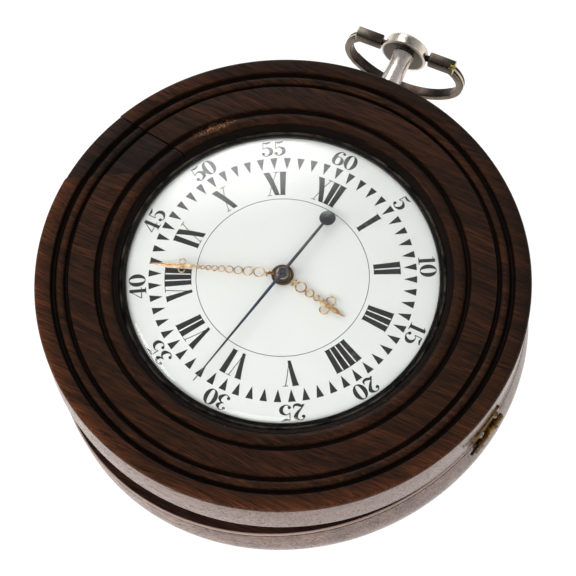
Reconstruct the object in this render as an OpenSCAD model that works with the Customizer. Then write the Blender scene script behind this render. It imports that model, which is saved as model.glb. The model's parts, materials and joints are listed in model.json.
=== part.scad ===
// Coach clock: a large silver coach watch held in a hinged round case of turned wood.
// The foot of the bowl stands on z = 0 with its centre at the origin, and twelve o'clock is at +Y.

/* [Wooden case] */
// Outer radius of the front ring and of the bowl's rim
case_r = 75; // [73:0.5:82]
// Height of the bowl from its foot to its rim
bowl_h = 30; // [29.5:0.5:38]
// Radius of the bowl's flat foot
foot_r = 45; // [36:1:54]
// Height of the upright part of the bowl's wall
wall_land = 8; // [7:0.5:12]
// Thickness of the bowl's floor
floor_t = 9; // [7:0.2:9.6]
// Height of the turned front ring
ring_h = 16.2; // [15.5:0.1:18]
// Thickness of the ring's lip over the silver bezel
lip_t = 3.2; // [2.8:0.1:3.6]
// Gap between ring and bowl when the case is shut
lid_gap = 0.2; // [0.15:0.05:0.5]
// Angle by which the case stands open
ajar = 10.5; // [0:0.5:30]
// Depth of the deep turned grooves
groove_d = 1.8; // [1:0.1:2.2]
// Thickness of the leather lining
lining_t = 1.8; // [1:0.1:2]
// Free room between the watch and the lining
watch_room = 0.7; // [0.6:0.1:1.2]
// Radial play of the watch in the ring's rebate
watch_fit = 0.1; // [0.02:0.02:0.3]

/* [Case hinge and hook] */
// Direction of the hinge from the centre, against the sense of the hands from three o'clock
hinge_az = -10.4; // [-14:0.1:0]
// Length of the hinge leaves along the wall
leaf_w = 12.4; // [11:0.2:15]
// Height of each hinge leaf
leaf_h = 5; // [4:0.2:5.4]
// Thickness of the hinge leaves
leaf_t = 0.8; // [0.6:0.1:0.9]
// Radius of the hinge knuckles
knuckle_r = 1; // [0.9:0.1:1.1]
// Radius of the hinge pin
pin_r = 0.5; // [0.4:0.05:0.6]
// Length of pin that stands out of the knuckles
pin_proud = 3.3; // [1:0.1:4]
// Running clearance of the pin in the ring's knuckle
pin_fit = 0.03; // [0.02:0.01:0.06]
// Distance from the hook's screw to the stud
hook_reach = 10; // [9.5:0.1:11]
// Thickness of the hook
hook_t = 0.9; // [0.7:0.1:1]

/* [Silver case and glass] */
// Width of the wooden ring outside the silver case
ring_wall = 15; // [14:0.5:16]
// Width of the silver bezel
bezel_w = 11.3; // [11:0.1:11.6]
// Rise of the domed glass above its seat
glass_rise = 7; // [6.8:0.1:8.5]
// Thickness of the glass
glass_t = 1.1; // [0.9:0.1:1.3]
// Wall of the silver case
silver_t = 1.2; // [0.9:0.1:1.5]
// Depth of the dial below the ring's face
dial_depth = 3.3; // [3.2:0.05:3.6]

/* [Pendant and bow] */
// Depth of the pendant's axis below the parting line
pendant_drop = 4.5; // [4.4:0.1:5.5]
// Turn of the pendant from twelve o'clock, against the sense of the hands
pendant_az = 2; // [0:0.5:4]
// Radius of the pendant's stem
stem_r = 3.7; // [3.4:0.1:4]
// Distance of the bow's axis beyond the ring
pendant_reach = 23.9; // [23.5:0.1:27]
// Radius of the pendant's round head
head_r = 7.8; // [7:0.1:8.4]
// Thickness of the pendant's head
head_t = 4.6; // [4:0.1:5.5]
// Half the width of the oval bow
bow_half = 21.4; // [20.8:0.1:22]
// Depth of the bow below its axis
bow_deep = 23.6; // [23:0.1:24]
// Width of the bow's band along its pivots' normal
bow_w = 3.6; // [3.4:0.1:4]
// Thickness of the bow's band
bow_t = 2.4; // [2.2:0.1:2.8]
// Length of the square lugs at the bow's ends
lug_len = 9.2; // [8.6:0.1:10]

/* [Hands and dial] */
// Length of the hour hand as a share of the glass radius
hour_share = 0.48; // [0.45:0.01:0.53]
// Length of the minute hand as a share of the glass radius
minute_share = 0.834; // [0.8:0.001:0.86]
// Length of the seconds hand as a share of the glass radius
seconds_share = 0.893; // [0.86:0.001:0.9]
// Thickness of the gilt hands
hand_t = 0.4; // [0.3:0.05:0.5]
// Thickness of the dial
dial_t = 1; // [0.8:0.1:1.2]

/* [Movement] */
// Thickness of both movement plates
plate_t = 2; // [1.6:0.1:2.2]
// Room for the balance and its cock between the top plate and the back of the case
balance_room = 10.2; // [9.8:0.1:10.8]
// Radius of the turned pillars
pillar_r = 1.8; // [1.4:0.1:2.2]
// Radius of the balance wheel's rim as a share of the plate's radius
balance_share = 0.276; // [0.24:0.002:0.29]

/* [Hidden] */
$fn = 48;
eps = 0.01;

// Levels of the case, shut
ring_bot = bowl_h + lid_gap;
ring_top = ring_bot + ring_h;
lip_z = ring_top - lip_t;

// Radii that follow from the ring's
watch_r = case_r - ring_wall;
glass_r = watch_r - bezel_w;
lip_r = glass_r + 1;
rebate_r = watch_r + watch_fit;
edge_r = glass_r + 1.7;
plate_r = glass_r - 1.7;
back_flat_r = watch_r * 0.4;
bow_axis_r = case_r + pendant_reach;
hour_len = glass_r * hour_share;
minute_len = glass_r * minute_share;
seconds_len = glass_r * seconds_share;

// Hinge axis, outside the wall and on the parting line
hinge_gap = 0.3;
hinge_r = case_r + knuckle_r + hinge_gap;
hinge_z = bowl_h + lid_gap / 2;
leaf_in = case_r - 0.35;
leaf_start = knuckle_r + 0.15;
knuckle_l = leaf_w / 3 - 0.15;
screw_head_r = 1.3;
screw_head_h = 0.9;
screw_r = 0.6;
screw_len = 6;
screw_fit = 0.03;
leaf_screw_x = leaf_w / 2 - 2.3;

// Hook opposite the hinge
catch_az = hinge_az + 180;
stud_z = bowl_h - 4.5;
hook_z = stud_z + hook_reach;
hook_in = case_r + 0.35;
hook_eye_r = 2;
hook_pin_r = 0.8;
hook_open = 84;
stud_r = 0.8;

// Levels of the watch
dial_top = ring_top - dial_depth;
dial_bot = dial_top - dial_t;
dial_r = glass_r + 0.4;
glass_z = lip_z + 0.6;
bezel_in = lip_r + 0.1;
bezel_bot = lip_z - 3.4;
silver_out = watch_r;
edge_h = 2.4;
back_z = floor_t + lining_t + watch_room;
back_knee_z = ring_bot - 1.2;
plate_top = dial_bot - edge_h;
plate_bot = plate_top - plate_t;
top_plate_bot = back_z + balance_room;
top_plate_top = top_plate_bot + plate_t;
pillar_h = plate_bot - top_plate_top;
pendant_z = bowl_h - pendant_drop;

// Train: places, modules and tooth counts
barrel_n = 60;
centre_pin_n = 10;
centre_n = 60;
third_pin_n = 8;
third_n = 64;
seconds_pin_n = 8;
seconds_n = 70;
escape_pin_n = 7;
cannon_n = 12;
minute_n = 36;
minute_pin_n = 10;
hour_n = 40;
escape_n = 15;
third_d = plate_r * 0.285;
escape_d = plate_r * 0.281;
motion_d = 8.4;
barrel_m = plate_r * 0.0132;
barrel_d = barrel_m * (barrel_n + centre_pin_n) / 2;
centre_m = 2 * third_d / (centre_n + third_pin_n);
third_m = 2 * third_d / (third_n + seconds_pin_n);
seconds_m = 2 * escape_d / (seconds_n + escape_pin_n);
cannon_m = 2 * motion_d / (cannon_n + minute_n);
hour_m = 2 * motion_d / (minute_pin_n + hour_n);
barrel_az = 200;
third_az = 70;
escape_az = -40;
motion_az = 130;
balance_d = escape_d * 1.47;
balance_r = plate_r * balance_share;

// Arbors from the inside out
seconds_r = 0.5;
centre_bore = seconds_r + 0.08;
centre_r = 1.15;
cannon_r = 1.75;
hour_bore = cannon_r + 0.08;
hour_pipe_r = 2.5;

// Hand levels above the dial
hour_z = dial_top + 0.6;
minute_z = hour_z + 0.9;
seconds_z = minute_z + 0.9;
hour_dir = -10.8;
minute_dir = -159.7;
seconds_dir = -101;

// The bow hangs straight down although its pivot is tilted with the ring
hinge_axis = [-sin(hinge_az), cos(hinge_az), 0];
function turn_about(v, k, a) = v * cos(a) + cross(k, v) * sin(a) + k * (k * v) * (1 - cos(a));
stem_up = turn_about([-sin(pendant_az), cos(pendant_az), 0], hinge_axis, ajar)[2];
face_up = turn_about([0, 0, 1], hinge_axis, ajar)[2];
bow_hang = -atan2(stem_up, face_up);

function arc(cx, cy, rx, ry, a0, a1, n) =
    [for (i = [0:n]) let (a = a0 + (a1 - a0) * i / n) [cx + rx * cos(a), cy + ry * sin(a)]];

// Carries its children with the front ring, which stands ajar about the hinge pin
module on_front() {
    p = [hinge_r * cos(hinge_az), hinge_r * sin(hinge_az), hinge_z];
    translate(p) rotate(a = ajar, v = hinge_axis) translate(-p) children();
}

// Puts children, drawn with +X outward and +Z up, at the wall in a given direction
module at_wall(az) {
    rotate([0, 0, az]) children();
}

// A gear outline whose first tooth points along +X turned by phase
module gear(n, m, phase) {
    pitch = 360 / n;
    r0 = m * (n / 2 - 1.05);
    r1 = m * (n / 2);
    r2 = m * (n / 2 + 0.8);
    points = [for (i = [0:n - 1], p = [[r0, -0.27], [r1, -0.2], [r2, -0.09], [r2, 0.09], [r1, 0.2], [r0, 0.27]])
        let (a = phase + pitch * (i + p[1])) p[0] * [cos(a), sin(a)]];
    polygon(points);
}

// A wheel with crossings: a toothed rim, five arms and a hub
module crossed_wheel(n, m, phase, rim, hub, bore, t) {
    inner = m * (n / 2 - 1.05) - rim;
    linear_extrude(t) difference() {
        gear(n, m, phase);
        circle(bore);
        difference() {
            circle(inner);
            circle(hub);
            for (i = [0:2]) rotate(i * 60) square([2 * inner + 2, hub * 0.55], center = true);
        }
    }
}

// Phase of a gear that must mesh with one at a known phase, seen along direction az
function mesh_phase(az, n, other_n, other_phase) =
    az + 180 + 180 / n - (other_phase - az) * other_n / n;

centre_phase = minute_dir;
barrel_phase = mesh_phase(barrel_az, barrel_n, centre_pin_n, centre_phase);
third_pin_phase = mesh_phase(third_az, third_pin_n, centre_n, centre_phase);
seconds_phase = mesh_phase(third_az + 180, seconds_pin_n, third_n, third_pin_phase);
escape_pin_phase = mesh_phase(escape_az, escape_pin_n, seconds_n, seconds_phase);
minute_phase = mesh_phase(motion_az, minute_n, cannon_n, centre_phase);
hour_phase = mesh_phase(motion_az + 180, hour_n, minute_pin_n, minute_phase);

// Wooden case

module bowl_outer() {
    rotate_extrude($fn = 96) polygon(concat(
        [[0, 0]],
        arc(foot_r, bowl_h - wall_land, case_r - foot_r, bowl_h - wall_land, -90, 0, 14),
        [[case_r, bowl_h - 1.5], [case_r - 0.35, bowl_h - 1.3], [case_r, bowl_h - 1.1],
         [case_r, bowl_h - 0.4], [case_r - 0.4, bowl_h], [0, bowl_h]]));
}

// The rounded back of the watch, grown outward by a given amount, from one angle to another
function back_curve(grow, from, to) =
    arc(back_flat_r, back_knee_z, watch_r - back_flat_r + grow, back_knee_z - back_z + grow, from, to, abs(to - from) / 9);

bed_grow = watch_room + lining_t;
lining_top = bowl_h - 1.2;

// The open slot in the rim through which the pendant leaves
module pendant_slot(half, r_from) {
    rotate(pendant_az) translate([0, r_from, pendant_z]) rotate([-90, 0, 0]) linear_extrude(case_r + 5 - r_from) {
        circle(half);
        translate([-half, -bowl_h]) square([2 * half, bowl_h]);
    }
}

slot_half = stem_r + 0.8;

module case_bowl() {
    color("#3a2015") difference() {
        bowl_outer();
        rotate_extrude($fn = 96) polygon(concat([[0, back_z - bed_grow]], back_curve(bed_grow, -90, 0),
            [[watch_r + bed_grow, bowl_h + 1], [0, bowl_h + 1]]));
        pendant_slot(slot_half, case_r / 2);
        at_wall(hinge_az) translate([leaf_in, -leaf_w / 2, hinge_z - leaf_start - leaf_h])
            cube([5, leaf_w, leaf_start + leaf_h + 5]);
        at_wall(hinge_az) for (x = [-1, 1]) leaf_screw(x, -1, screw_fit);
        at_wall(catch_az) translate([case_r - 6, 0, stud_z]) rotate([0, 90, 0]) cylinder(r = stud_r, h = 10);
    }
}

// A leather cup for the floor and a band round the wall, which stops at the pendant's slot
module bowl_lining() {
    seam = -36;
    slot_angle = asin((slot_half + 0.2) / watch_r);
    color("#5a1f1c") {
        rotate_extrude($fn = 96) polygon(concat([[0, back_z - bed_grow]], back_curve(bed_grow, -90, seam),
            back_curve(watch_room, seam, -90), [[0, back_z - watch_room]]));
        rotate(90 + pendant_az + slot_angle) rotate_extrude(angle = 360 - 2 * slot_angle, $fn = 96) polygon(concat(
            back_curve(bed_grow, seam, 0), [[watch_r + bed_grow, lining_top], [watch_r + watch_room, lining_top]],
            back_curve(watch_room, 0, seam)));
    }
}

// Turned front of the ring, from the outer edge inward
band_w = 4.8;
groove_w = 2.2;
fine_bead_w = 1.5;
second_groove_w = 1.9;
third_groove_w = 2.1;
inner_bead_w = 3.4;
cove_w = 1.9;
band_in = case_r - band_w;
bead_out = band_in - groove_w;
bead_in = bead_out - fine_bead_w;
flat_out = bead_in - second_groove_w;
cove_out = lip_r + cove_w;
inner_bead_out = cove_out + inner_bead_w;
flat_in = inner_bead_out + third_groove_w;

module ring_outline() {
    g = groove_d;
    polygon(concat(
        [[rebate_r, ring_bot], [case_r - 0.5, ring_bot], [case_r, ring_bot + 0.5]],
        arc(case_r - 1, ring_top - 1, 1, 1, 0, 90, 5),
        arc((band_in + bead_out) / 2, ring_top - 0.15, groove_w / 2, g, 0, -180, 8),
        arc((bead_out + bead_in) / 2, ring_top - 0.7, fine_bead_w / 2, 0.6, 0, 180, 6),
        arc((bead_in + flat_out) / 2, ring_top - 0.1, second_groove_w / 2, g - 0.2, 0, -180, 8),
        arc((flat_in + inner_bead_out) / 2, ring_top - 0.1, third_groove_w / 2, g - 0.1, 0, -180, 8),
        arc((cove_out + inner_bead_out) / 2, ring_top - 0.8, inner_bead_w / 2, 1, 0, 180, 8),
        arc(lip_r, ring_top - 0.8, cove_w, 1.3, 0, -90, 5),
        [[lip_r, lip_z], [rebate_r, lip_z]]));
}

module ring_solid() {
    difference() {
        rotate_extrude($fn = 96) ring_outline();
        at_wall(hinge_az) translate([leaf_in, -leaf_w / 2, ring_bot - 1])
            cube([5, leaf_w, hinge_z + leaf_start + leaf_h - ring_bot + 1]);
        at_wall(hinge_az) for (x = [-1, 1]) leaf_screw(x, 1, screw_fit);
        at_wall(catch_az) translate([case_r - 6, 0, hook_z]) rotate([0, 90, 0]) cylinder(r = hook_pin_r, h = 10);
    }
}

// Plan of the new piece let into the ring after a break
module let_in_plan() {
    translate([0, 0, ring_bot - 1]) linear_extrude(ring_h + 2)
        polygon([[-1.1 * case_r, 0.381 * case_r], [-0.6 * case_r, 0.3135 * case_r],
                 [-0.6 * case_r, 0.2335 * case_r], [-1.1 * case_r, -0.064 * case_r]]);
}

module front_ring() {
    color("#4a2616") on_front() difference() {
        ring_solid();
        let_in_plan();
    }
}

module ring_let_in_piece() {
    color("#3b2a20") on_front() intersection() {
        ring_solid();
        let_in_plan();
    }
}

// Case hinge

// One screw of a leaf: side is -1 or 1 along the wall, up is -1 for the lower leaf
module leaf_screw(side, up, grow) {
    z = hinge_z + up * (leaf_start + leaf_h / 2 + 0.3);
    translate([leaf_in + leaf_t - screw_len, side * leaf_screw_x, z]) rotate([0, 90, 0])
        cylinder(r = screw_r + grow, h = screw_len + 2 * grow, $fn = 24);
}

module leaf_screw_whole(side, up) {
    leaf_screw(side, up, 0);
    z = hinge_z + up * (leaf_start + leaf_h / 2 + 0.3);
    translate([leaf_in + leaf_t, side * leaf_screw_x, z]) rotate([0, 90, 0]) difference() {
        rotate_extrude($fn = 32) polygon(concat([[0, 0]], arc(0, 0, screw_head_r, screw_head_h, 0, 90, 5)));
        translate([-screw_head_r - 1, -0.2, screw_head_h - 0.35]) cube([2 * screw_head_r + 2, 0.4, 1]);
    }
}

module leaf_plate(up) {
    z0 = up > 0 ? hinge_z + leaf_start : hinge_z - leaf_start - leaf_h;
    translate([leaf_in, -leaf_w / 2, z0]) cube([leaf_t, leaf_w, leaf_h]);
}

// A knuckle and the tongue that joins it to its leaf
module knuckle(y0, up, bore) {
    difference() {
        union() {
            translate([hinge_r, y0, hinge_z]) rotate([-90, 0, 0]) cylinder(r = knuckle_r, h = knuckle_l);
            translate([leaf_in + 0.2, y0, up > 0 ? hinge_z + 0.2 : hinge_z - leaf_start - 0.5])
                cube([hinge_r - leaf_in - 0.9, knuckle_l, leaf_start + 0.3]);
        }
        translate([hinge_r, y0 - 1, hinge_z]) rotate([-90, 0, 0]) cylinder(r = bore, h = knuckle_l + 2);
    }
}

module hinge_lower_leaf() {
    color("#8a6a2c") at_wall(hinge_az) {
        difference() {
            leaf_plate(-1);
            for (x = [-1, 1]) leaf_screw(x, -1, screw_fit);
        }
        for (y = [-leaf_w / 2, leaf_w / 2 - knuckle_l]) knuckle(y, -1, pin_r);
    }
}

module hinge_upper_leaf() {
    color("#b98a35") on_front() at_wall(hinge_az) {
        difference() {
            leaf_plate(1);
            for (x = [-1, 1]) leaf_screw(x, 1, screw_fit);
        }
        knuckle(-knuckle_l / 2, 1, pin_r + pin_fit);
    }
}

module hinge_pin() {
    color("#5b5348") at_wall(hinge_az) translate([hinge_r, -leaf_w / 2 - pin_proud, hinge_z]) rotate([-90, 0, 0])
        cylinder(r = pin_r, h = leaf_w + pin_proud + 0.4);
}

module hinge_lower_screws() {
    color("#5b5348") at_wall(hinge_az) for (x = [-1, 1]) leaf_screw_whole(x, -1);
}

module hinge_upper_screws() {
    color("#8f6d2e") on_front() at_wall(hinge_az) for (x = [-1, 1]) leaf_screw_whole(x, 1);
}

// Hook and stud

module catch_stud() {
    color("#b98a35") at_wall(catch_az) translate([case_r - 6, 0, stud_z]) rotate([0, 90, 0]) {
        cylinder(r = stud_r, h = 6 + hook_in - case_r + hook_t + 0.3);
        translate([0, 0, 6 + hook_in - case_r + hook_t + 0.3 - eps]) cylinder(r = stud_r + 0.6, h = 0.7);
    }
}

module catch_screw() {
    color("#5b5348") on_front() at_wall(catch_az) translate([case_r - 6, 0, hook_z]) rotate([0, 90, 0]) {
        cylinder(r = hook_pin_r, h = 6 + hook_in - case_r + hook_t + 0.25);
        translate([0, 0, 6 + hook_in - case_r + hook_t + 0.25 - eps]) cylinder(r = hook_pin_r + 0.8, h = 0.6);
    }
}

// Flat hook, drawn hanging straight down from its screw with its mouth open to one side
module hook_flat() {
    mouth = stud_r + 0.3;
    difference() {
        union() {
            circle(hook_eye_r);
            translate([-hook_eye_r * 0.62, -hook_reach]) square([hook_eye_r * 1.24, hook_reach]);
            translate([0, -hook_reach]) circle(mouth + 1.3);
        }
        circle(hook_pin_r + 0.05);
        intersection() {
            difference() {
                circle(hook_reach + mouth);
                circle(hook_reach - mouth);
            }
            translate([0, -hook_reach - 3]) square([6, 6]);
        }
        translate([0, -hook_reach]) circle(mouth);
    }
}

module catch_hook() {
    color("#b98a35") on_front() at_wall(catch_az) translate([hook_in, 0, hook_z]) rotate([90, 0, 90])
        rotate(-hook_open) linear_extrude(hook_t) hook_flat();
}

// Silver case, bezel and glass

module silver_case() {
    z_top = bezel_bot;
    color("#c9c6bf") on_front() rotate_extrude($fn = 96) polygon(concat(
        [[0, back_z]],
        back_curve(0, -90, 0),
        [[silver_out, z_top], [plate_r + 0.6, z_top], [plate_r + 0.6, z_top - 1], [silver_out - silver_t, z_top - 1]],
        back_curve(-silver_t, 0, -90),
        [[0, back_z + silver_t]]));
}

module silver_bezel() {
    color("#d5d2ca") on_front() rotate_extrude($fn = 96) polygon(concat(
        [[edge_r + 0.2, bezel_bot], [silver_out, bezel_bot], [silver_out, lip_z], [lip_r - 0.1, lip_z]],
        arc((glass_r + lip_r - 0.1) / 2, glass_z + 0.9, (lip_r - 0.1 - glass_r) / 2, 0.35, 0, 180, 5),
        [[glass_r, glass_z - 0.55], [glass_r - 0.8, glass_z - 0.55], [glass_r - 0.8, lip_z - 0.1],
         [dial_r + 0.7, lip_z - 0.45], [edge_r + 0.2, lip_z - 1]]));
}

module watch_glass() {
    g = glass_r - 0.03;
    color([0.85, 0.92, 0.95, 0.35]) on_front() rotate_extrude($fn = 96) polygon(concat(
        [[g - glass_t, glass_z - 0.5], [g, glass_z - 0.5]],
        arc(0, glass_z, g, glass_rise, 0, 90, 16),
        arc(0, glass_z, g - glass_t, glass_rise - glass_t, 90, 0, 16)));
}

// Pendant and bow

stem_end = bow_axis_r - head_t / 2;

module pendant_stem() {
    color("#b9b3a6") on_front() rotate(pendant_az) difference() {
        translate([0, 0, pendant_z]) rotate([-90, 0, 0]) rotate_extrude($fn = 64)
            polygon([[0, watch_r - 8], [stem_r, watch_r - 8], [stem_r, case_r + 3], [stem_r - 0.3, stem_end - 9],
                     [stem_r - 0.5, stem_end - 4], [stem_r - 0.2, stem_end - 1], [stem_r + 0.1, stem_end],
                     [0, stem_end]]);
        rotate_extrude($fn = 96) polygon(concat(
            [[0, back_z]],
            back_curve(0, -90, 0),
            [[silver_out, bezel_bot], [0, bezel_bot]]));
    }
}

module pendant_head() {
    y0 = stem_end;
    color("#aaa497") on_front() rotate(pendant_az) difference() {
        translate([0, 0, pendant_z]) rotate([-90, 0, 0]) rotate_extrude($fn = 64) polygon(concat(
            [[0, y0], [head_r - 0.2, y0], [head_r, y0 + 0.2], [head_r, y0 + 0.7], [head_r - 0.4, y0 + 0.95],
             [head_r - 0.4, y0 + head_t - 0.8]],
            arc(head_r - 1.2, y0 + head_t - 0.8, 0.8, 0.8, 0, 90, 4),
            [[head_r - 2.2, y0 + head_t + 0.2], [0, y0 + head_t + 0.6]]));
        for (s = [-1, 1]) translate([s * (head_r - 3), bow_axis_r, pendant_z]) rotate([0, s * 90, 0])
            cylinder(r = bow_pin_r + 0.05, h = 5);
    }
}

bow_pin_r = 1.1;
lug_gap = 0.5;
lug_h = 4;

// The oval is drawn with two tight arcs at its sides and a wide one below, which meet smoothly
bow_side_r = 9;
bow_side_x = bow_half - bow_t / 2 - bow_side_r;
bow_side_z = -8.6;
bow_end = 62;
bow_lap = 1;
bow_slim = 0.05;
bow_fall = bow_deep - bow_t / 2 + bow_side_z - bow_side_r;
bow_rise = (bow_side_x * bow_side_x - bow_fall * bow_fall) / (2 * bow_fall);
bow_wide_r = bow_side_r + bow_fall + bow_rise;
bow_joint = atan2(bow_rise, bow_side_x);

// Section of the band at a radius: reeded outside, plain inside, a trifle slimmer towards the lugs
module bow_section(r, slim = 0) {
    w = bow_w / 2 - slim;
    t = bow_t / 2 - slim;
    half = [[0.3 - t, 0], [t - 0.5, 0], [t - 0.1, 0.45], [t - 0.45, 1], [t, 1.4]];
    polygon(concat([[r - t, 0.3 - w]], [for (p = half) [r + p[0], p[1] - w]],
        [for (i = [len(half) - 1:-1:0]) [r + half[i][0], w - half[i][1]]], [[r - t, w - 0.3]]));
}

module bow_ring() {
    rotate([90, 0, 0]) {
        translate([0, bow_side_z + bow_rise, 0]) rotate(180 + bow_joint)
            rotate_extrude(angle = 180 - 2 * bow_joint, $fn = 96) bow_section(bow_wide_r);
        translate([bow_side_x, bow_side_z, 0]) rotate(-bow_joint - bow_lap)
            rotate_extrude(angle = bow_joint + bow_lap + bow_end, $fn = 96) bow_section(bow_side_r, bow_slim);
        translate([-bow_side_x, bow_side_z, 0]) rotate(180 - bow_end)
            rotate_extrude(angle = bow_joint + bow_lap + bow_end, $fn = 96) bow_section(bow_side_r, bow_slim);
    }
}

module bow() {
    color("#a79f90") on_front() rotate(pendant_az) translate([0, bow_axis_r, pendant_z]) rotate([bow_hang, 0, 0]) {
        bow_ring();
        for (s = [-1, 1]) {
            translate([s * (head_r + lug_gap + lug_len / 2), 0, 0]) cube([lug_len, bow_w, lug_h], center = true);
            translate([s * (head_r - 2.8), 0, 0]) rotate([0, s * 90, 0]) cylinder(r = bow_pin_r, h = 2.8 + lug_gap + 1);
        }
    }
}

// Dial and movement frame

module dial() {
    color("#f2f1ec") on_front() rotate_extrude($fn = 96) polygon([[hour_pipe_r + 0.5, dial_bot], [dial_r, dial_bot],
        [dial_r, dial_top - 0.4], [dial_r - 2, dial_top - 0.22], [dial_r * 0.75, dial_top - 0.08],
        [dial_r * 0.45, dial_top], [hour_pipe_r + 0.5, dial_top]]);
}

foot_az = [45, 165, 285];
pillar_az = [20, 110, 155, 245, 345];
pillar_ring = plate_r - 4;

module dial_feet() {
    color("#b87a4b") on_front() for (a = foot_az) rotate(a) translate([plate_r - 8, 0, plate_bot - 1.5])
        cylinder(r = 0.8, h = dial_bot - plate_bot + 1.5, $fn = 24);
}

module pillar_plate() {
    color("#c79a45") on_front() difference() {
        rotate_extrude($fn = 96) polygon([[0, plate_bot], [plate_r, plate_bot], [plate_r, bezel_bot],
            [edge_r, bezel_bot], [edge_r, dial_bot], [plate_r - 1.2, dial_bot], [plate_r - 1.2, plate_top],
            [0, plate_top]]);
        for (a = foot_az) rotate(a) translate([plate_r - 8, 0, plate_bot - 1])
            cylinder(r = 0.83, h = plate_t + 2, $fn = 24);
        translate([0, 0, plate_bot - 1]) cylinder(r = centre_r + 0.05, h = plate_t + 2);
        rotate(third_az) translate([third_d, 0, plate_bot - 1]) cylinder(r = pivot_r + 0.03, h = plate_t + 2, $fn = 24);
        rotate(escape_az) translate([escape_d, 0, plate_bot - 1]) cylinder(r = pivot_r + 0.03, h = plate_t + 2, $fn = 24);
        rotate(barrel_az) translate([barrel_d, 0, plate_bot - 1]) cylinder(r = barrel_arbor_r, h = plate_t + 2, $fn = 24);
        rotate(escape_az) translate([balance_d, 0, plate_bot - 1]) cylinder(r = pivot_r + 0.03, h = plate_t + 2, $fn = 24);
        rotate(motion_az) translate([motion_d, 0, plate_bot - 1]) cylinder(r = 0.6, h = plate_t + 2, $fn = 24);
    }
}

pillar_tip_r = 0.9;

module pillars() {
    color("#cfa24c") on_front() for (a = pillar_az) rotate(a) translate([pillar_ring, 0, 0]) difference() {
        rotate_extrude($fn = 32) polygon([[0, top_plate_bot - 1.6], [pillar_tip_r, top_plate_bot - 1.6],
            [pillar_tip_r, top_plate_top], [pillar_r, top_plate_top], [pillar_r, top_plate_top + 1.2],
            [pillar_r - 0.6, top_plate_top + 1.8], [pillar_r - 0.3, (plate_bot + top_plate_top) / 2],
            [pillar_r - 0.6, plate_bot - 1.8], [pillar_r, plate_bot - 1.2], [pillar_r, plate_bot], [0, plate_bot]]);
        taper_pin();
    }
}

module top_plate() {
    color("#c79a45") on_front() difference() {
        translate([0, 0, top_plate_bot]) cylinder(r = plate_r - 0.8, h = plate_t, $fn = 96);
        for (a = pillar_az) rotate(a) translate([pillar_ring, 0, top_plate_bot - 1])
            cylinder(r = pillar_tip_r + 0.02, h = plate_t + 2, $fn = 24);
        translate([0, 0, top_plate_bot - 1]) cylinder(r = seconds_r + 0.03, h = plate_t + 2, $fn = 24);
        rotate(third_az) translate([third_d, 0, top_plate_bot - 1]) cylinder(r = pivot_r + 0.03, h = plate_t + 2, $fn = 24);
        rotate(escape_az) translate([escape_d, 0, top_plate_bot - 1]) cylinder(r = pivot_r + 0.03, h = plate_t + 2, $fn = 24);
        rotate(barrel_az) translate([barrel_d, 0, top_plate_bot - 1]) cylinder(r = barrel_arbor_r, h = plate_t + 2, $fn = 24);
        rotate(escape_az) translate([balance_d, 0, top_plate_bot - 1]) cylinder(r = 1.5, h = plate_t + 2, $fn = 24);
        at_click() translate([0, 0, top_plate_bot - 1]) cylinder(r = 0.6, h = plate_t + 2, $fn = 24);
        at_cock_foot() translate([0, 0, top_plate_bot - 1]) cylinder(r = 0.9, h = plate_t + 2, $fn = 24);
    }
}

// Taper pins that lock the top plate on the pillars
module taper_pin() {
    translate([0, 0, top_plate_bot - 0.45]) rotate([90, 0, 0])
        cylinder(r1 = 0.42, r2 = 0.28, h = 5, center = true, $fn = 24);
}

module top_plate_pins() {
    color("#7d7668") on_front() for (a = pillar_az) rotate(a) translate([pillar_ring, 0, 0]) taper_pin();
}

// Hands: pierced rings that shrink towards the tip

module ring_flat(r, w) {
    difference() {
        circle(r);
        circle(r - w);
    }
}

// Tapering pointer from x0 to x1 with a swelling near its root
module pointer_flat(x0, x1, half, swell) {
    polygon([[x0, -half * 0.6], [x0 + swell, -half], [x1 - 0.2, -0.12], [x1, 0], [x1 - 0.2, 0.12],
             [x0 + swell, half], [x0, half * 0.6]]);
}

// Centres and radii of the pierced rings, as shares of each hand's length
function ring_row(r0, q, n) = [for (i = [0:n - 1]) r0 * pow(q, i)];
function row_end(r, i, lap) = i < 0 ? 0 : row_end(r, i - 1, lap) + 2 * r[i] - lap;

minute_rings = ring_row(0.0425 * minute_len, 0.885, 10);
hour_rings = ring_row(0.078 * hour_len, 0.765, 4);
ring_lap = 0.2;

module ringed_hand(hub_r, bore, rings, start, line, tip, boss_r, side_r, half) {
    difference() {
        union() {
            circle(hub_r);
            translate([hub_r - 0.5, -0.5]) square([start - hub_r + 0.9, 1]);
            translate([start - 0.9, -1.2]) square([0.7, 2.4]);
            for (i = [0:len(rings) - 1]) translate([start + row_end(rings, i - 1, ring_lap) + rings[i], 0])
                circle(rings[i], $fn = 32);
        }
        circle(bore);
        for (i = [0:len(rings) - 1]) translate([start + row_end(rings, i - 1, ring_lap) + rings[i], 0])
            circle(rings[i] - line, $fn = 32);
    }
    x = start + row_end(rings, len(rings) - 1, ring_lap);
    difference() {
        union() {
            translate([x + boss_r - 0.15, 0]) circle(boss_r, $fn = 24);
            translate([x + boss_r - 0.3, -boss_r * 1.3]) square([0.3, boss_r * 2.6]);
            for (s = [-1, 1]) translate([x + boss_r * 2, s * (side_r + 0.1)]) circle(side_r, $fn = 24);
        }
        for (s = [-1, 1]) translate([x + boss_r * 2, s * (side_r + 0.1)]) circle(side_r - line, $fn = 24);
    }
    pointer_flat(x + boss_r, tip, half, 3 * half);
}

module hour_hand() {
    collet_r = 3.4;
    color("#c69a4a") on_front() rotate(hour_dir) translate([0, 0, hour_z]) {
        linear_extrude(hand_t)
            ringed_hand(collet_r, hour_pipe_r, hour_rings, collet_r + 1.3, 0.42, hour_len, 0.95, 1.1, 0.62);
    }
}

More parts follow.
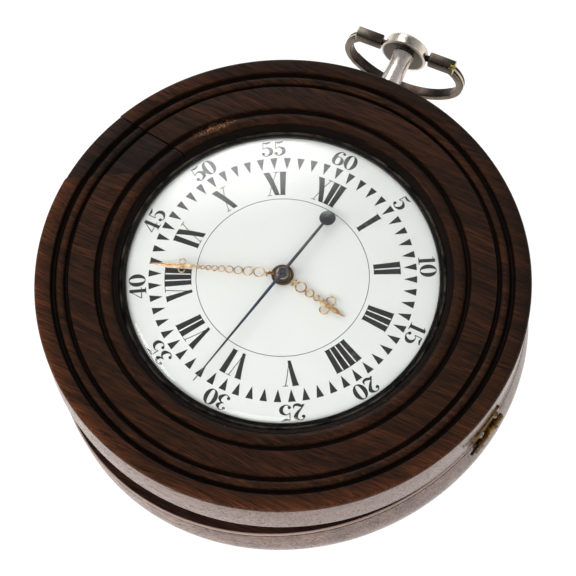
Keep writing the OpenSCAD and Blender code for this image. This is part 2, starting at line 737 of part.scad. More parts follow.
module minute_hand() {
    color("#c69a4a") on_front() rotate(minute_dir) translate([0, 0, minute_z]) {
        linear_extrude(hand_t) ringed_hand(2.3, cannon_r - 0.25, minute_rings, 5.2, 0.38, minute_len, 0.8, 0.95, 0.5);
    }
}

seconds_tail = 0.524 * seconds_len;

module seconds_hand() {
    color("#27304a") on_front() rotate(seconds_dir) translate([0, 0, seconds_z]) {
        linear_extrude(0.25) difference() {
            union() {
                circle(1.2, $fn = 32);
                polygon([[0, -0.45], [seconds_len - 0.3, -0.1], [seconds_len, 0], [seconds_len - 0.3, 0.1], [0, 0.45]]);
                translate([-seconds_tail, -0.4]) square([seconds_tail, 0.8]);
                translate([-seconds_tail, 0]) circle(2.5, $fn = 48);
            }
            circle(seconds_r, $fn = 24);
        }
        difference() {
            translate([0, 0, 0.25]) cylinder(r = 0.95, h = 0.55, $fn = 32);
            translate([0, 0, -1]) cylinder(r = seconds_r, h = 3, $fn = 24);
        }
    }
}

// Motion work under the dial

module hour_wheel() {
    z0 = plate_top + 1.35;
    color("#c79a45") on_front() {
        translate([0, 0, z0]) linear_extrude(0.7) difference() {
            gear(hour_n, hour_m, hour_phase);
            circle(hour_bore);
        }
        translate([0, 0, z0]) difference() {
            cylinder(r = hour_pipe_r, h = hour_z + hand_t - z0);
            translate([0, 0, -1]) cylinder(r = hour_bore, h = 10);
        }
    }
}

module cannon_pinion() {
    z0 = plate_top + 0.25;
    top = minute_z + hand_t + 0.3;
    color("#8c8a86") on_front() difference() {
        union() {
            translate([0, 0, z0]) linear_extrude(0.95) gear(cannon_n, cannon_m, centre_phase);
            translate([0, 0, z0]) cylinder(r = cannon_r, h = minute_z - z0);
            translate([0, 0, z0]) cylinder(r = cannon_r - 0.25, h = top - z0);
        }
        translate([0, 0, z0 - 1]) cylinder(r = centre_r, h = 10);
    }
}

module minute_wheel() {
    color("#c79a45") on_front() rotate(motion_az) translate([motion_d, 0, 0]) rotate(-motion_az) {
        translate([0, 0, plate_top + 0.3]) linear_extrude(0.8) gear(minute_n, cannon_m, minute_phase);
        translate([0, 0, plate_top + 1.1 - eps]) linear_extrude(0.95 + eps) gear(minute_pin_n, hour_m, minute_phase);
        translate([0, 0, plate_bot + 0.2]) cylinder(r = 0.57, h = plate_t + 0.3, $fn = 24);
    }
}

// Going train between the plates

pivot_r = 0.4;
arbor_r = 0.9;
barrel_arbor_r = 2;
train_bot = top_plate_top;
seconds_wheel_z = train_bot + 1.2;
barrel_z = seconds_wheel_z + 1.4;
centre_z = plate_bot - 1.8;
barrel_h = centre_z - 0.6 - barrel_z;
third_z = train_bot + pillar_h * 0.443;
escape_z = train_bot + pillar_h * 0.243;
escape_wheel_r = balance_d - escape_d - 1.35;

module centre_wheel() {
    bottom = third_z + 2.2;
    color("#c79a45") on_front() {
        translate([0, 0, centre_z]) crossed_wheel(centre_n, centre_m, centre_phase, 0.9, 2.4, centre_bore, 0.8);
        difference() {
            union() {
                translate([0, 0, bottom]) linear_extrude(centre_z - bottom) gear(centre_pin_n, barrel_m, centre_phase);
                translate([0, 0, bottom]) cylinder(r = centre_r, h = minute_z + hand_t + 0.25 - bottom);
                translate([0, 0, centre_z]) cylinder(r = 2.2, h = plate_bot - 0.2 - centre_z);
            }
            translate([0, 0, bottom - 1]) cylinder(r = centre_bore, h = seconds_z - bottom + 2);
        }
    }
}

module third_wheel() {
    color("#c79a45") on_front() rotate(third_az) translate([third_d, 0, 0]) rotate(-third_az) {
        translate([0, 0, third_z]) crossed_wheel(third_n, third_m, third_pin_phase, 0.9, 2, arbor_r, 0.7);
        translate([0, 0, centre_z - 0.7]) linear_extrude(2.2) gear(third_pin_n, centre_m, third_pin_phase);
        translate([0, 0, train_bot + 0.2]) cylinder(r = arbor_r, h = plate_bot - train_bot - 0.4, $fn = 24);
        translate([0, 0, train_bot - plate_t + 0.3]) cylinder(r = pivot_r, h = plate_bot - train_bot + 2 * plate_t - 0.6, $fn = 24);
    }
}

module seconds_arbor() {
    color("#c79a45") on_front() {
        translate([0, 0, seconds_wheel_z]) crossed_wheel(seconds_n, seconds_m, seconds_phase, 0.8, 1.8, seconds_r, 0.7);
        translate([0, 0, third_z - 1]) linear_extrude(2.6) gear(seconds_pin_n, third_m, seconds_phase);
        translate([0, 0, train_bot + 0.2]) cylinder(r = 0.85, h = third_z + 1.6 - train_bot - 0.2, $fn = 24);
        translate([0, 0, train_bot - plate_t + 0.3]) cylinder(r = seconds_r, h = seconds_z + 1 - train_bot + plate_t - 0.3, $fn = 24);
    }
}

module escape_wheel() {
    r = escape_wheel_r;
    color("#c79a45") on_front() rotate(escape_az) translate([escape_d, 0, 0]) rotate(-escape_az) {
        translate([0, 0, escape_z]) linear_extrude(0.6) difference() {
            union() {
                circle(r - 1.1);
                for (i = [0:escape_n - 1]) rotate(i * 360 / escape_n)
                    polygon([[r - 1.5, -0.55], [r - 0.1, -0.3], [r, 0.25], [r - 1.5, 0.3]]);
            }
            difference() {
                circle(r - 1.8);
                circle(1.5);
                for (i = [0:1]) rotate(i * 90) square([2 * r, 0.8], center = true);
            }
        }
        translate([0, 0, seconds_wheel_z - 0.8]) linear_extrude(2.4) gear(escape_pin_n, seconds_m, escape_pin_phase);
        translate([0, 0, train_bot + 0.2]) cylinder(r = 0.6, h = plate_bot - train_bot - 0.4, $fn = 24);
        translate([0, 0, train_bot - plate_t + 0.3]) cylinder(r = pivot_r, h = plate_bot - train_bot + 2 * plate_t - 0.6, $fn = 24);
    }
}

// Mainspring barrel, closed by its lid, with the great teeth round its foot
drum_r = barrel_m * (barrel_n / 2 - 1.05) - 0.6;
drum_wall = 1.1;
barrel_hub_r = 4;

module mainspring_barrel() {
    color("#c99d48") on_front() rotate(barrel_az) translate([barrel_d, 0, barrel_z]) rotate(-barrel_az) difference() {
        union() {
            cylinder(r = drum_r, h = barrel_h, $fn = 96);
            translate([0, 0, barrel_h - 2.4]) linear_extrude(1.2) gear(barrel_n, barrel_m, barrel_phase);
        }
        translate([0, 0, 1]) cylinder(r = drum_r - drum_wall, h = barrel_h - 2, $fn = 96);
        translate([0, 0, -1]) cylinder(r = barrel_arbor_r + 0.05, h = barrel_h + 2, $fn = 32);
    }
}

// Flat spiral strip from an inner to an outer radius, half its thickness to each side
module spiral(from, to, turns, half) {
    steps = 24 * turns;
    path = [for (i = [0:steps]) [from + (to - from) * i / steps, i * 360 / 24]];
    inner = [for (p = path) (p[0] - half) * [cos(p[1]), sin(p[1])]];
    outer = [for (i = [steps:-1:0]) (path[i][0] + half) * [cos(path[i][1]), sin(path[i][1])]];
    polygon(concat(inner, outer));
}

spring_gap = 1.5;

module mainspring() {
    strip = 0.2;
    color("#5d6068") on_front() rotate(barrel_az) translate([barrel_d, 0, barrel_z + spring_gap])
        linear_extrude(barrel_h - 2 * spring_gap)
        spiral(barrel_hub_r + strip + 0.15, drum_r - drum_wall - strip, 7, strip);
}

module barrel_arbor() {
    color("#8c8a86") on_front() rotate(barrel_az) translate([barrel_d, 0, 0]) {
        translate([0, 0, top_plate_bot]) cylinder(r = barrel_arbor_r, h = plate_top - top_plate_bot - 0.4, $fn = 32);
        translate([0, 0, barrel_z + 1.5]) cylinder(r = barrel_hub_r, h = barrel_h - 3, $fn = 32);
        translate([0, 0, top_plate_bot - 5]) linear_extrude(5 + eps) square(2.2, center = true);
    }
}

ratchet_tip = 6.6;
click_reach = 7.4;
click_turn = 61.5;

// The click's screw stands where its nose just meets the face of a ratchet tooth
module at_click() {
    rotate(barrel_az) translate([barrel_d + 5.78 + click_reach * cos(click_turn), 1.18 + click_reach * sin(click_turn), 0])
        children();
}

module ratchet_wheel() {
    color("#8c8a86") on_front() rotate(barrel_az) translate([barrel_d, 0, top_plate_bot - 1.4]) linear_extrude(1.2)
        difference() {
            union() {
                circle(5.6);
                for (i = [0:17]) rotate(i * 20) polygon([[5, -0.9], [ratchet_tip, 0.8], [5, 0.9]]);
            }
            square(2.24, center = true);
        }
}

module ratchet_click() {
    color("#8c8a86") on_front() at_click() translate([0, 0, top_plate_bot - 1.4]) {
        cylinder(r = 1.8, h = 1.2, $fn = 24);
        cylinder(r = 0.57, h = 1.4 + plate_t - 0.2, $fn = 24);
        rotate(click_turn + 180) linear_extrude(1.2)
            polygon([[0, -1.4], [click_reach - 1, -0.45], [click_reach, -0.1], [click_reach, 0.2],
                     [click_reach - 1, 0.45], [0, 1.4]]);
    }
}

// Balance, its spring and its cock, below the top plate

staff_r = 0.7;
balance_z = top_plate_bot - 2.2;
cock_z = top_plate_bot - 5.6;
cock_t = 1.1;

module at_balance() {
    rotate(escape_az) translate([balance_d, 0, 0]) rotate(-escape_az) children();
}

module at_cock_foot() {
    rotate(escape_az) translate([balance_d + balance_r + 3.4, 0, 0]) children();
}

module balance_wheel() {
    color("#d0aa5c") on_front() at_balance() {
        translate([0, 0, balance_z]) linear_extrude(0.9) difference() {
            circle(balance_r, $fn = 96);
            difference() {
                circle(balance_r - 1.2, $fn = 96);
                circle(1.8);
                for (i = [0:2]) rotate(i * 60) square([2 * balance_r, 0.9], center = true);
            }
        }
        translate([0, 0, cock_z + cock_t + 0.2]) cylinder(r = staff_r, h = plate_bot - cock_z - cock_t - 0.4, $fn = 32);
        translate([0, 0, cock_z + 0.2]) cylinder(r = pivot_r, h = plate_top - 0.3 - cock_z - 0.2, $fn = 24);
    }
}

// Flat spiral spring between the staff and its stud on the cock
spring_in = staff_r + 0.4;
spring_out = 5.2;
spring_turns = 5;

module balance_spring() {
    color("#3c4660") on_front() at_balance() {
        translate([0, 0, cock_z + cock_t + 0.8]) linear_extrude(0.3) spiral(spring_in, spring_out, spring_turns, 0.12);
        translate([spring_out, 0, cock_z + cock_t]) cylinder(r = 0.45, h = 1.1, $fn = 24);
    }
}

module balance_cock() {
    color("#cfa24c") on_front() difference() {
        union() {
            at_balance() translate([0, 0, cock_z]) linear_extrude(cock_t) difference() {
                circle(balance_r + 0.4, $fn = 96);
                for (i = [0:7]) rotate(i * 45 + 22.5) translate([balance_r * 0.66, 0]) circle(2.6, $fn = 32);
                for (i = [0:7]) rotate(i * 45) translate([balance_r * 0.36, 0]) circle(1.1, $fn = 24);
            }
            at_cock_foot() translate([-4.6, -5, cock_z]) cube([8, 10, cock_t]);
            at_cock_foot() translate([-1.6, -5, cock_z]) cube([5, 10, top_plate_bot - cock_z]);
        }
        at_balance() translate([0, 0, cock_z - 1]) cylinder(r = pivot_r + 0.03, h = cock_t + 2, $fn = 24);
        at_cock_foot() translate([0, 0, cock_z - 1]) cylinder(r = 0.9, h = 20, $fn = 24);
    }
}

module cock_screw() {
    color("#4a5470") on_front() at_cock_foot() translate([0, 0, cock_z]) difference() {
        union() {
            translate([0, 0, -0.8]) cylinder(r = 1.7, h = 0.8, $fn = 32);
            cylinder(r = 0.88, h = top_plate_bot - cock_z + plate_t, $fn = 24);
        }
        translate([-3, -0.25, -1.2]) cube([6, 0.5, 0.8]);
    }
}

case_bowl();
bowl_lining();
hinge_lower_leaf();
hinge_pin();
hinge_lower_screws();
catch_stud();
front_ring();
ring_let_in_piece();
hinge_upper_leaf();
hinge_upper_screws();
catch_screw();
catch_hook();
silver_case();
silver_bezel();
watch_glass();
pendant_stem();
pendant_head();
bow();
dial();
dial_feet();
pillar_plate();
pillars();
top_plate();
top_plate_pins();
hour_hand();
hour_wheel();
minute_hand();
cannon_pinion();
centre_wheel();
minute_wheel();
seconds_hand();
seconds_arbor();
third_wheel();
escape_wheel();
mainspring_barrel();
mainspring();
barrel_arbor();
ratchet_wheel();
ratchet_click();
balance_wheel();
balance_spring();
balance_cock();
cock_screw();
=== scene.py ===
import json
import math

import bmesh
import bpy
from mathutils import Matrix, Vector

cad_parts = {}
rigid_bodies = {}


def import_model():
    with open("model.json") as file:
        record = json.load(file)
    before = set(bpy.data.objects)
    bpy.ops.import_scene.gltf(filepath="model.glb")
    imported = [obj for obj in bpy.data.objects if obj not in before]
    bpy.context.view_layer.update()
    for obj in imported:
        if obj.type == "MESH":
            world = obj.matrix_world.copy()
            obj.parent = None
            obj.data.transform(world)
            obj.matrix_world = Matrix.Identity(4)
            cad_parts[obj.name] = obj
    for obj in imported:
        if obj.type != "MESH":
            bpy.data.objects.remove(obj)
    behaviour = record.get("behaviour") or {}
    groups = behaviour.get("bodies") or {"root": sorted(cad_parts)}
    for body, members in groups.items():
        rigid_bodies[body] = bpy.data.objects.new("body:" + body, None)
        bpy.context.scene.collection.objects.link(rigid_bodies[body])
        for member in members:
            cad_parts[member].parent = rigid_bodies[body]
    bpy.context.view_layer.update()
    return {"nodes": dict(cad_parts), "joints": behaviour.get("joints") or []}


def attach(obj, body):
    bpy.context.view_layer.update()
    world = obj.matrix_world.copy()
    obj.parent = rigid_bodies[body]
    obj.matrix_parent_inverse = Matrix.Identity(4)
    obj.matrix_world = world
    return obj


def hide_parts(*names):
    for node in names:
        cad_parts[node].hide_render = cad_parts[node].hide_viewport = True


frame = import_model()


# The camera looks down on the dial from beyond five o'clock, from half a metre away.
# The front ring, and all that it carries, is drawn shut and level, in millimetres, and then
# turned about the hinge pin by the angle at which the case stands open.
MM = 0.001
hinge = next(joint for joint in frame["joints"] if joint["name"] == "case_hinge")
pin = Vector(hinge["pos_m"])
ajar = math.radians(-hinge["range_deg"][0])
opened = (Matrix.Translation(pin) @ Matrix.Rotation(ajar, 4, Vector(hinge["axis"]))
          @ Matrix.Translation(-pin))
dial_z = 43.1

photo_px = 576
film_mm = 36
focal_px = 1834.7
camera_distance = 0.5555
camera_height = math.radians(65.4)
camera_plan = math.radians(61.2 - 90)
camera_roll = math.radians(3.02)
aim_px = (282.6, 276.5)

aside = Matrix.Translation(((aim_px[0] - photo_px / 2) / focal_px * camera_distance,
                            -(aim_px[1] - photo_px / 2) / focal_px * camera_distance,
                            -camera_distance))
look = aside @ Matrix.Rotation(camera_roll, 4, "Z")
look = look @ Matrix.Rotation(camera_height - math.pi / 2, 4, "X")
look = look @ Matrix.Rotation(camera_plan, 4, "Z") @ Matrix.Translation((0, 0, -dial_z * MM))
camera_data = bpy.data.cameras.new("camera")
camera_data.sensor_width = film_mm
camera_data.lens = focal_px / photo_px * film_mm
camera = bpy.data.objects.new("camera", camera_data)
camera.matrix_world = opened @ look.inverted()
bpy.context.scene.collection.objects.link(camera)
bpy.context.scene.camera = camera
bpy.context.scene.view_settings.view_transform = "Standard"


# The bowl: the back part of the case, turned from one block of dark rosewood and waxed.
# It stands on a flat foot. A line is scribed under its rim, and a slot in the rim lets the
# pendant of the watch out.
class Socket:
    """A shader value. Sums on it add their own Math nodes."""

    def __init__(self, finish, link):
        self.finish, self.link = finish, link

    def math(self, operation, *others):
        return self.finish.node("ShaderNodeMath", {"operation": operation}, dict(enumerate((self, *others))))

    def __add__(self, other):
        return self.math("ADD", other)

    def __sub__(self, other):
        return self.math("SUBTRACT", other)

    def __rsub__(self, other):
        return self.math("MULTIPLY", -1.0) + other

    def __mul__(self, other):
        return self.math("MULTIPLY", other)

    __radd__ = __add__
    __rmul__ = __mul__

    def between(self, low, high):
        """0 below low and 1 above high, with a soft step between; low may be the higher number."""
        return self.finish.node("ShaderNodeMapRange", {"interpolation_type": "SMOOTHSTEP"},
                                {"Value": self, "From Min": low, "From Max": high})


class Finish:
    """A material built from nodes round one shader."""

    def __init__(self, name, **fixed):
        self.material = bpy.data.materials.new(name)
        self.material.use_nodes = True
        self.tree = self.material.node_tree
        self.shader = self.tree.nodes["Principled BSDF"]
        for key, value in fixed.items():
            self.shader.inputs[key.replace("_", " ")].default_value = value

    def node(self, kind, settings=None, values=None, out=0):
        made = self.tree.nodes.new(kind)
        for key, value in (settings or {}).items():
            if key == "stops":
                ramp = made.color_ramp.elements
                while len(ramp) < len(value):
                    ramp.new(0.5)
                for stop, (place, colour) in zip(ramp, value):
                    stop.position, stop.color = place, colour
            else:
                setattr(made, key, value)
        for key, value in (values or {}).items():
            if isinstance(value, Socket):
                self.tree.links.new(value.link, made.inputs[key])
            else:
                made.inputs[key].default_value = value
        return Socket(self, made.outputs[out])

    def place(self, turned_by=None):
        """Object coordinates in millimetres, turned back level for what the open ring carries."""
        where = self.node("ShaderNodeTexCoord", out=3)
        back = (turned_by or Matrix.Identity(4)).inverted()
        return self.node("ShaderNodeMapping", None, {
            "Vector": where, "Location": back.translation / MM, "Rotation": back.to_euler(),
            "Scale": (1 / MM,) * 3})

    def stretched(self, place, stretch, shift=(0, 0, 0)):
        return self.node("ShaderNodeMapping", None, {"Vector": place, "Scale": stretch, "Location": shift})

    def part(self, place, axis):
        return self.node("ShaderNodeSeparateXYZ", None, {0: place}, out=axis)

    def length(self, place):
        return self.node("ShaderNodeVectorMath", {"operation": "LENGTH"}, {0: place}, out=1)

    def noise(self, place, scale=1.0, detail=3.0, rough=0.5):
        return self.node("ShaderNodeTexNoise", None, {
            "Vector": place, "Scale": scale, "Detail": detail, "Roughness": rough})

    def mix(self, share, first, second):
        return self.node("ShaderNodeMix", {"data_type": "RGBA"}, {0: share, 6: first, 7: second}, out=2)

    def layers(self, colour, *coats):
        """The colour under coats of other colours, each given with its share."""
        for share, over in coats:
            colour = self.mix(share, colour, over)
        return colour

    def ramp(self, value, *stops):
        return self.node("ShaderNodeValToRGB", {"stops": stops}, {0: value})

    def bump(self, height, depth_mm):
        return self.node("ShaderNodeBump", None, {
            "Height": height, "Distance": depth_mm * MM, "Strength": 1.0})

    def wear(self, **changing):
        for key, value in changing.items():
            self.tree.links.new(value.link, self.shader.inputs[key.replace("_", " ")])
        return self.material


def paint(red, green, blue):
    """A colour given as 0 to 255, as it would be picked from a screen."""
    parts = [c / 255 / 12.92 if c / 255 <= 0.04045 else ((c / 255 + 0.055) / 1.055) ** 2.4
             for c in (red, green, blue)]
    return (*parts, 1.0)


case_r = 75.0
bowl_h = 30.0
nowhere = 1000.0


def rosewood(name, turned_by=None, dark=(21, 13, 9), brown=(46, 27, 16), warm=(78, 43, 24),
             moulded=nowhere, grooved=nowhere, shift=(0, 0, 0), gloss=0.9, sheen=1.85):
    """Waxed rosewood: fibres and short dark pores run along X through the block. The walls are
    burnished and carry a pale painted reflection, and the face at the moulded height is duller, with
    a painted highlight on its outer band. Painted shade darkens the wood toward the XII-III side,
    the grooves below the grooved height, the top of the bowl's rim and the line scribed under it;
    a painted highlight runs round the rim's outer edge."""
    wood = Finish(name, Coat_Roughness=0.2, Coat_IOR=sheen, Specular_IOR_Level=0.1)
    level = wood.place(turned_by)
    drift = wood.noise(wood.stretched(level, (0.012, 0.04, 0.04), shift), 1.0, 1.0)
    sideways = wood.node("ShaderNodeCombineXYZ", None, {1: drift * 16.0, 2: drift * 10.0})
    wavy = wood.node("ShaderNodeVectorMath", {"operation": "ADD"}, {0: level, 1: sideways})
    streaks = wood.noise(wood.stretched(wavy, (0.012, 0.30, 0.22), shift), 1.0, 4.0, 0.6)
    fibres = wood.noise(wood.stretched(wavy, (0.07, 1.7, 1.5), shift), 1.0, 4.0, 0.65)
    pores = wood.noise(wood.stretched(wavy, (0.16, 3.4, 2.8), shift), 1.0, 2.0, 0.55).between(0.54, 0.64)
    tone = streaks * 0.4 + fibres * 0.6
    grain = wood.ramp(tone, (0.35, paint(*dark)), (0.50, paint(*brown)), (0.66, paint(*warm)))
    # A painted highlight: a brighter, warmer grain colour for the lit outer band of the face
    edge_highlight = wood.ramp(tone, (0.38, paint(*brown)), (0.50, paint(*warm)),
                     (0.63, paint(*[c * 1.35 for c in warm])))

    height = wood.part(level, 2)
    across = wood.length(wood.stretched(level, (1, 1, 0)))
    # Painted shade: the wood grows darker toward the XII-III side, where less light falls
    far_side_shade = (wood.part(level, 0) * 0.45 + wood.part(level, 1) + drift * 60.0).between(0.0, 95.0)
    face = height.between(moulded - 1.7, moulded - 0.9)
    edge = across.between(case_r - 5.5, case_r - 0.2) * face
    on_ring = height.between(bowl_h, bowl_h + 0.4)
    # A painted reflection: the walls are painted pale, as if they mirrored the white floor
    wall_reflection = on_ring * across.between(case_r - 1.1, case_r - 0.2)
    moulding = on_ring * across.between(case_r - 0.2, case_r - 1.1)
    # Painted shade: the deep grooves are painted near black
    shade_in_hollows = (height.between(grooved - 0.15, grooved - 1.15) * height.between(grooved - 6, grooved - 4)
            * across.between(case_r - 1.4, case_r - 1.9))
    on_rim = height.between(bowl_h + 0.1, bowl_h + 0.05)
    # Painted shade on the top of the bowl's rim, in the gap under the ring
    rim_shade = on_rim * height.between(bowl_h - 0.4, bowl_h - 0.15) * across.between(case_r - 0.4, case_r - 0.7)
    # A painted highlight on the rim's outer edge
    rim_highlight = on_rim * height.between(bowl_h - 0.65, bowl_h - 0.55) * across.between(case_r - 0.7, case_r - 0.4)
    # Painted shade in the line scribed under the rim
    scribed_line_shade = (height.between(bowl_h - 1.15, bowl_h - 1.05) * height.between(bowl_h - 0.6, bowl_h - 0.7)
               * across.between(case_r - 1.0, case_r - 0.9))
    colour = wood.layers(
        grain,
        (edge * (0.85 - far_side_shade * 0.85), edge_highlight),
        (far_side_shade * (0.16 + edge * 0.5), paint(*[c * 0.5 for c in brown])),
        (wall_reflection * (1 - face) * 0.6, paint(118, 76, 60)),
        (pores * 0.66, paint(12, 8, 6)),
        (shade_in_hollows * 0.88, paint(9, 7, 6)),
        (rim_highlight * 0.8, paint(176, 152, 140)),
        (rim_shade * 0.8 + scribed_line_shade * 0.9, paint(12, 8, 7)))
    polish = 0.36 + fibres * 0.16 + pores * 0.2 + shade_in_hollows * 0.2
    coat = (1 - pores * 0.75) * (1 - face * 0.94) * (1 - moulding * 0.98) * (1 - rim_shade) * (1 - scribed_line_shade)
    coat = coat * gloss * (0.2 + fibres * 0.9 + streaks * 0.6)
    ridges = fibres * 0.5 - pores * 0.8
    wood.wear(Base_Color=colour, Roughness=polish, Coat_Weight=coat, Normal=wood.bump(ridges, 0.04))
    wood.level, wood.colour = level, colour
    return wood


def curve(centre_r, centre_z, wide, high, start, end, steps=12):
    """Points of an ellipse's arc in a turned profile, by angles in degrees."""
    angles = [math.radians(start + (end - start) * i / steps) for i in range(steps + 1)]
    return [(centre_r + wide * math.cos(a), centre_z + high * math.sin(a)) for a in angles]


def eased(profile, radius, steps=3, closed=True):
    """The profile with every sharp corner rounded, as wax and wear round it."""
    points = [Vector(p) for p in profile]
    out = []
    for i, here in enumerate(points):
        back, on = points[i - 1] - here, points[(i + 1) % len(points)] - here
        at_end = not closed and i in (0, len(points) - 1)
        if at_end or min(back.length, on.length) < 1e-6 or back.angle(on) > math.radians(150):
            out.append(here)
            continue
        trim = min(radius, back.length * 0.45, on.length * 0.45)
        first, last = here + back.normalized() * trim, here + on.normalized() * trim
        for t in [step / steps for step in range(steps + 1)]:
            out.append(first.lerp(here, t).lerp(here.lerp(last, t), t))
    return [tuple(p) for p in out]


def new_object(name, mesh):
    piece = bpy.data.objects.new(name, mesh)
    bpy.context.scene.collection.objects.link(piece)
    return piece


def piece_of(shape, name, welded=True):
    """A piece from a bmesh in millimetres, with its faces outward."""
    if welded:
        bmesh.ops.remove_doubles(shape, verts=shape.verts, dist=1e-5)
    bmesh.ops.recalc_face_normals(shape, faces=shape.faces)
    mesh = bpy.data.meshes.new(name)
    shape.to_mesh(mesh)
    shape.free()
    return new_object(name, mesh)


def once_round(count):
    """Angles that go once round in equal steps."""
    return [2 * math.pi * i / count for i in range(count)]


def loft(shape, rows, closed=False, capped=False):
    """Faces between rows of vertices, each row going round; a row of one vertex is a tip."""
    for low, high in zip(rows, rows[1:] + rows[:1] if closed else rows[1:]):
        count = max(len(low), len(high))
        for i in range(count if count > 1 else 0):
            j = (i + 1) % count
            corners = [low[i % len(low)], low[j % len(low)], high[j % len(high)], high[i % len(high)]]
            shape.faces.new(list(dict.fromkeys(corners)))
    if capped:
        shape.faces.new(rows[0])
        shape.faces.new(rows[-1][::-1])


def lofted(name, rows, closed=False, capped=True):
    """A piece whose skin runs over rows of points."""
    shape = bmesh.new()
    loft(shape, [[shape.verts.new(point) for point in row] for row in rows], closed, capped)
    return piece_of(shape, name)


def turned(name, profile, sides=192, closed=True, ease=0.0):
    """A piece turned on a lathe: the profile, in radius and height, swept round Z. One that isn't
    closed begins and ends on the axis. The corners are rounded where a radius is given."""
    if ease:
        profile = eased(profile, ease, closed=closed)
    turns = once_round(sides)
    rows = [[(r * math.cos(a), r * math.sin(a), z) for a in turns] if r >= 1e-6 else [(0, 0, z)]
            for r, z in profile]
    return lofted(name, rows, closed, capped=False)


def settle(piece, body, finish, moved=None, edge=35, nodes=(), *, slot):
    """Puts a piece drawn in millimetres where it belongs, gives it its finish, and rides it on its body."""
    mesh = piece.data
    mesh.transform(Matrix.Scale(MM, 4))
    if moved is not None:
        mesh.transform(moved)
    mesh.polygons.foreach_set("use_smooth", [True] * len(mesh.polygons))
    mesh.set_sharp_from_angle(angle=math.radians(edge))
    mesh.materials.clear()
    mesh.materials.append(finish)
    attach(piece, body)
    if nodes:
        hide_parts(*nodes)


def baked(piece):
    """The piece with its modifiers applied and taken off."""
    seen = piece.evaluated_get(bpy.context.evaluated_depsgraph_get())
    mesh = bpy.data.meshes.new_from_object(seen)
    piece.modifiers.clear()
    piece.data = mesh
    return piece


def carved(piece, cutter, operation="DIFFERENCE"):
    """The piece cut by, or kept within, another shape."""
    knife = piece.modifiers.new("knife", "BOOLEAN")
    knife.object, knife.operation, knife.solver = cutter, operation, "EXACT"
    baked(piece)
    bpy.data.objects.remove(cutter)


foot_r = 45.0
wall_land = 8.0
watch_r = 60.0
back_flat_r = 24.0
back_z = 11.5
back_knee_z = 29.0
stem_r = 3.7
slot_half = stem_r + 0.8
pendant_lean = math.radians(2)
pendant_turn = Matrix.Rotation(pendant_lean, 4, "Z")
pendant_z = 25.5


def back_curve(grow, start, end, steps=16):
    """The rounded back of the watch, grown outward."""
    return curve(back_flat_r, back_knee_z, watch_r - back_flat_r + grow, back_knee_z - back_z + grow,
                 start, end, steps)


def slot_cutter(half):
    """A round-bottomed slot that is open to the top."""
    outline = curve(0, pendant_z, half, half, -180, 0, 15) + [(half, bowl_h + 20), (-half, bowl_h + 20)]
    return lofted("slot", [[pendant_turn @ Vector((x, r, z)) for x, z in outline]
                           for r in (case_r / 2, case_r + 5)])


bed = 2.5
line_z = bowl_h - 0.9
line_deep = 0.3
bowl_profile = ([(0, 0.25), (foot_r - 7, 0.25), (foot_r - 6.4, 0)]
                + curve(foot_r, bowl_h - wall_land, case_r - foot_r, bowl_h - wall_land, -90, 0, 28)
                + [(case_r, line_z - 0.25), (case_r - line_deep, line_z - 0.08),
                   (case_r - line_deep, line_z + 0.08), (case_r, line_z + 0.25),
                   (case_r, bowl_h - 0.3), (case_r - 0.3, bowl_h),
                   (watch_r + bed + 0.4, bowl_h), (watch_r + bed, bowl_h - 0.4)]
                + back_curve(bed, 0, -90) + [(0, back_z - bed)])
bowl = turned("bowl", bowl_profile, closed=False, ease=0.2)
carved(bowl, slot_cutter(slot_half))
# The bowl's browns are given much paler than the ring's: a painted reflection of the white floor on its wall
bowl_wood = rosewood("bowl_rosewood", shift=(3, 11, 5), brown=(98, 64, 52), warm=(136, 92, 72), sheen=2.05)
settle(bowl, "bowl", bowl_wood.material, nodes=["case_bowl"], slot="dark_wood")


# The lining: thin red leather, glued into the bowl as a cup and a band so that the silver is
# not scratched. It is rubbed dark where the watch beds on it.
room = 0.7
lining_top = bowl_h - 1.2


def leather_side(grow):
    """One face of the leather, from the middle of the floor up to its rolled edge."""
    top_angle = -math.degrees(math.asin((back_knee_z - lining_top + 0.8) / (back_knee_z - back_z + grow)))
    return [(0, back_z - grow)] + back_curve(grow, -90, top_angle)


under, over = leather_side(bed - 0.02), leather_side(room)
roll_r, roll_half = (under[-1][0] + over[-1][0]) / 2, (under[-1][0] - over[-1][0]) / 2
lining_profile = under + curve(roll_r, lining_top - 0.8, roll_half, 0.8, 0, 180, 8)[1:-1] + over[::-1]
lining = turned("lining", lining_profile, closed=False)
carved(lining, slot_cutter(slot_half + 0.2))
leather = Finish("red_leather", Sheen_Weight=0.2, Specular_IOR_Level=0.35)
leather_place = leather.place()
grain = leather.node("ShaderNodeTexVoronoi", {"feature": "DISTANCE_TO_EDGE"},
                     {"Vector": leather_place, "Scale": 1.3})
rubbed = leather.noise(leather_place, 0.06, 4.0, 0.6)
leather_red = leather.mix(rubbed.between(0.3, 0.7), paint(104, 28, 24), paint(66, 18, 16))
leather_red = leather.mix(grain.between(0.09, 0.0) * 0.5, leather_red, paint(40, 10, 9))
settle(lining, "bowl", leather.wear(Base_Color=leather_red, Roughness=0.52 + rubbed * 0.2,
                                    Normal=leather.bump(grain.between(0.0, 0.2), 0.08)),
       nodes=["bowl_lining"], slot="red_leather")


# The front ring: turned from the same wood, with a deep groove, a fine bead and a second groove
# near its edge, a wide flat, and a third groove and a rounded bead round the glass. A wedge of
# newer, duller wood is let in on the IX side, where the ring once broke.
ring_bot = 30.2
ring_top = 46.4
lip_z = ring_top - 3.2
glass_r = 48.7
lip_r = glass_r + 1
rebate_r = watch_r + 0.1
groove_deep = 1.8
corner_r = 1.1
ring_ease = 0.22
outer_groove, outer_bead, second_groove = 5.75, 7.8, 9.65
inner_groove_r, inner_bead_r, slope_r = 56.05, 53.38, 51.6


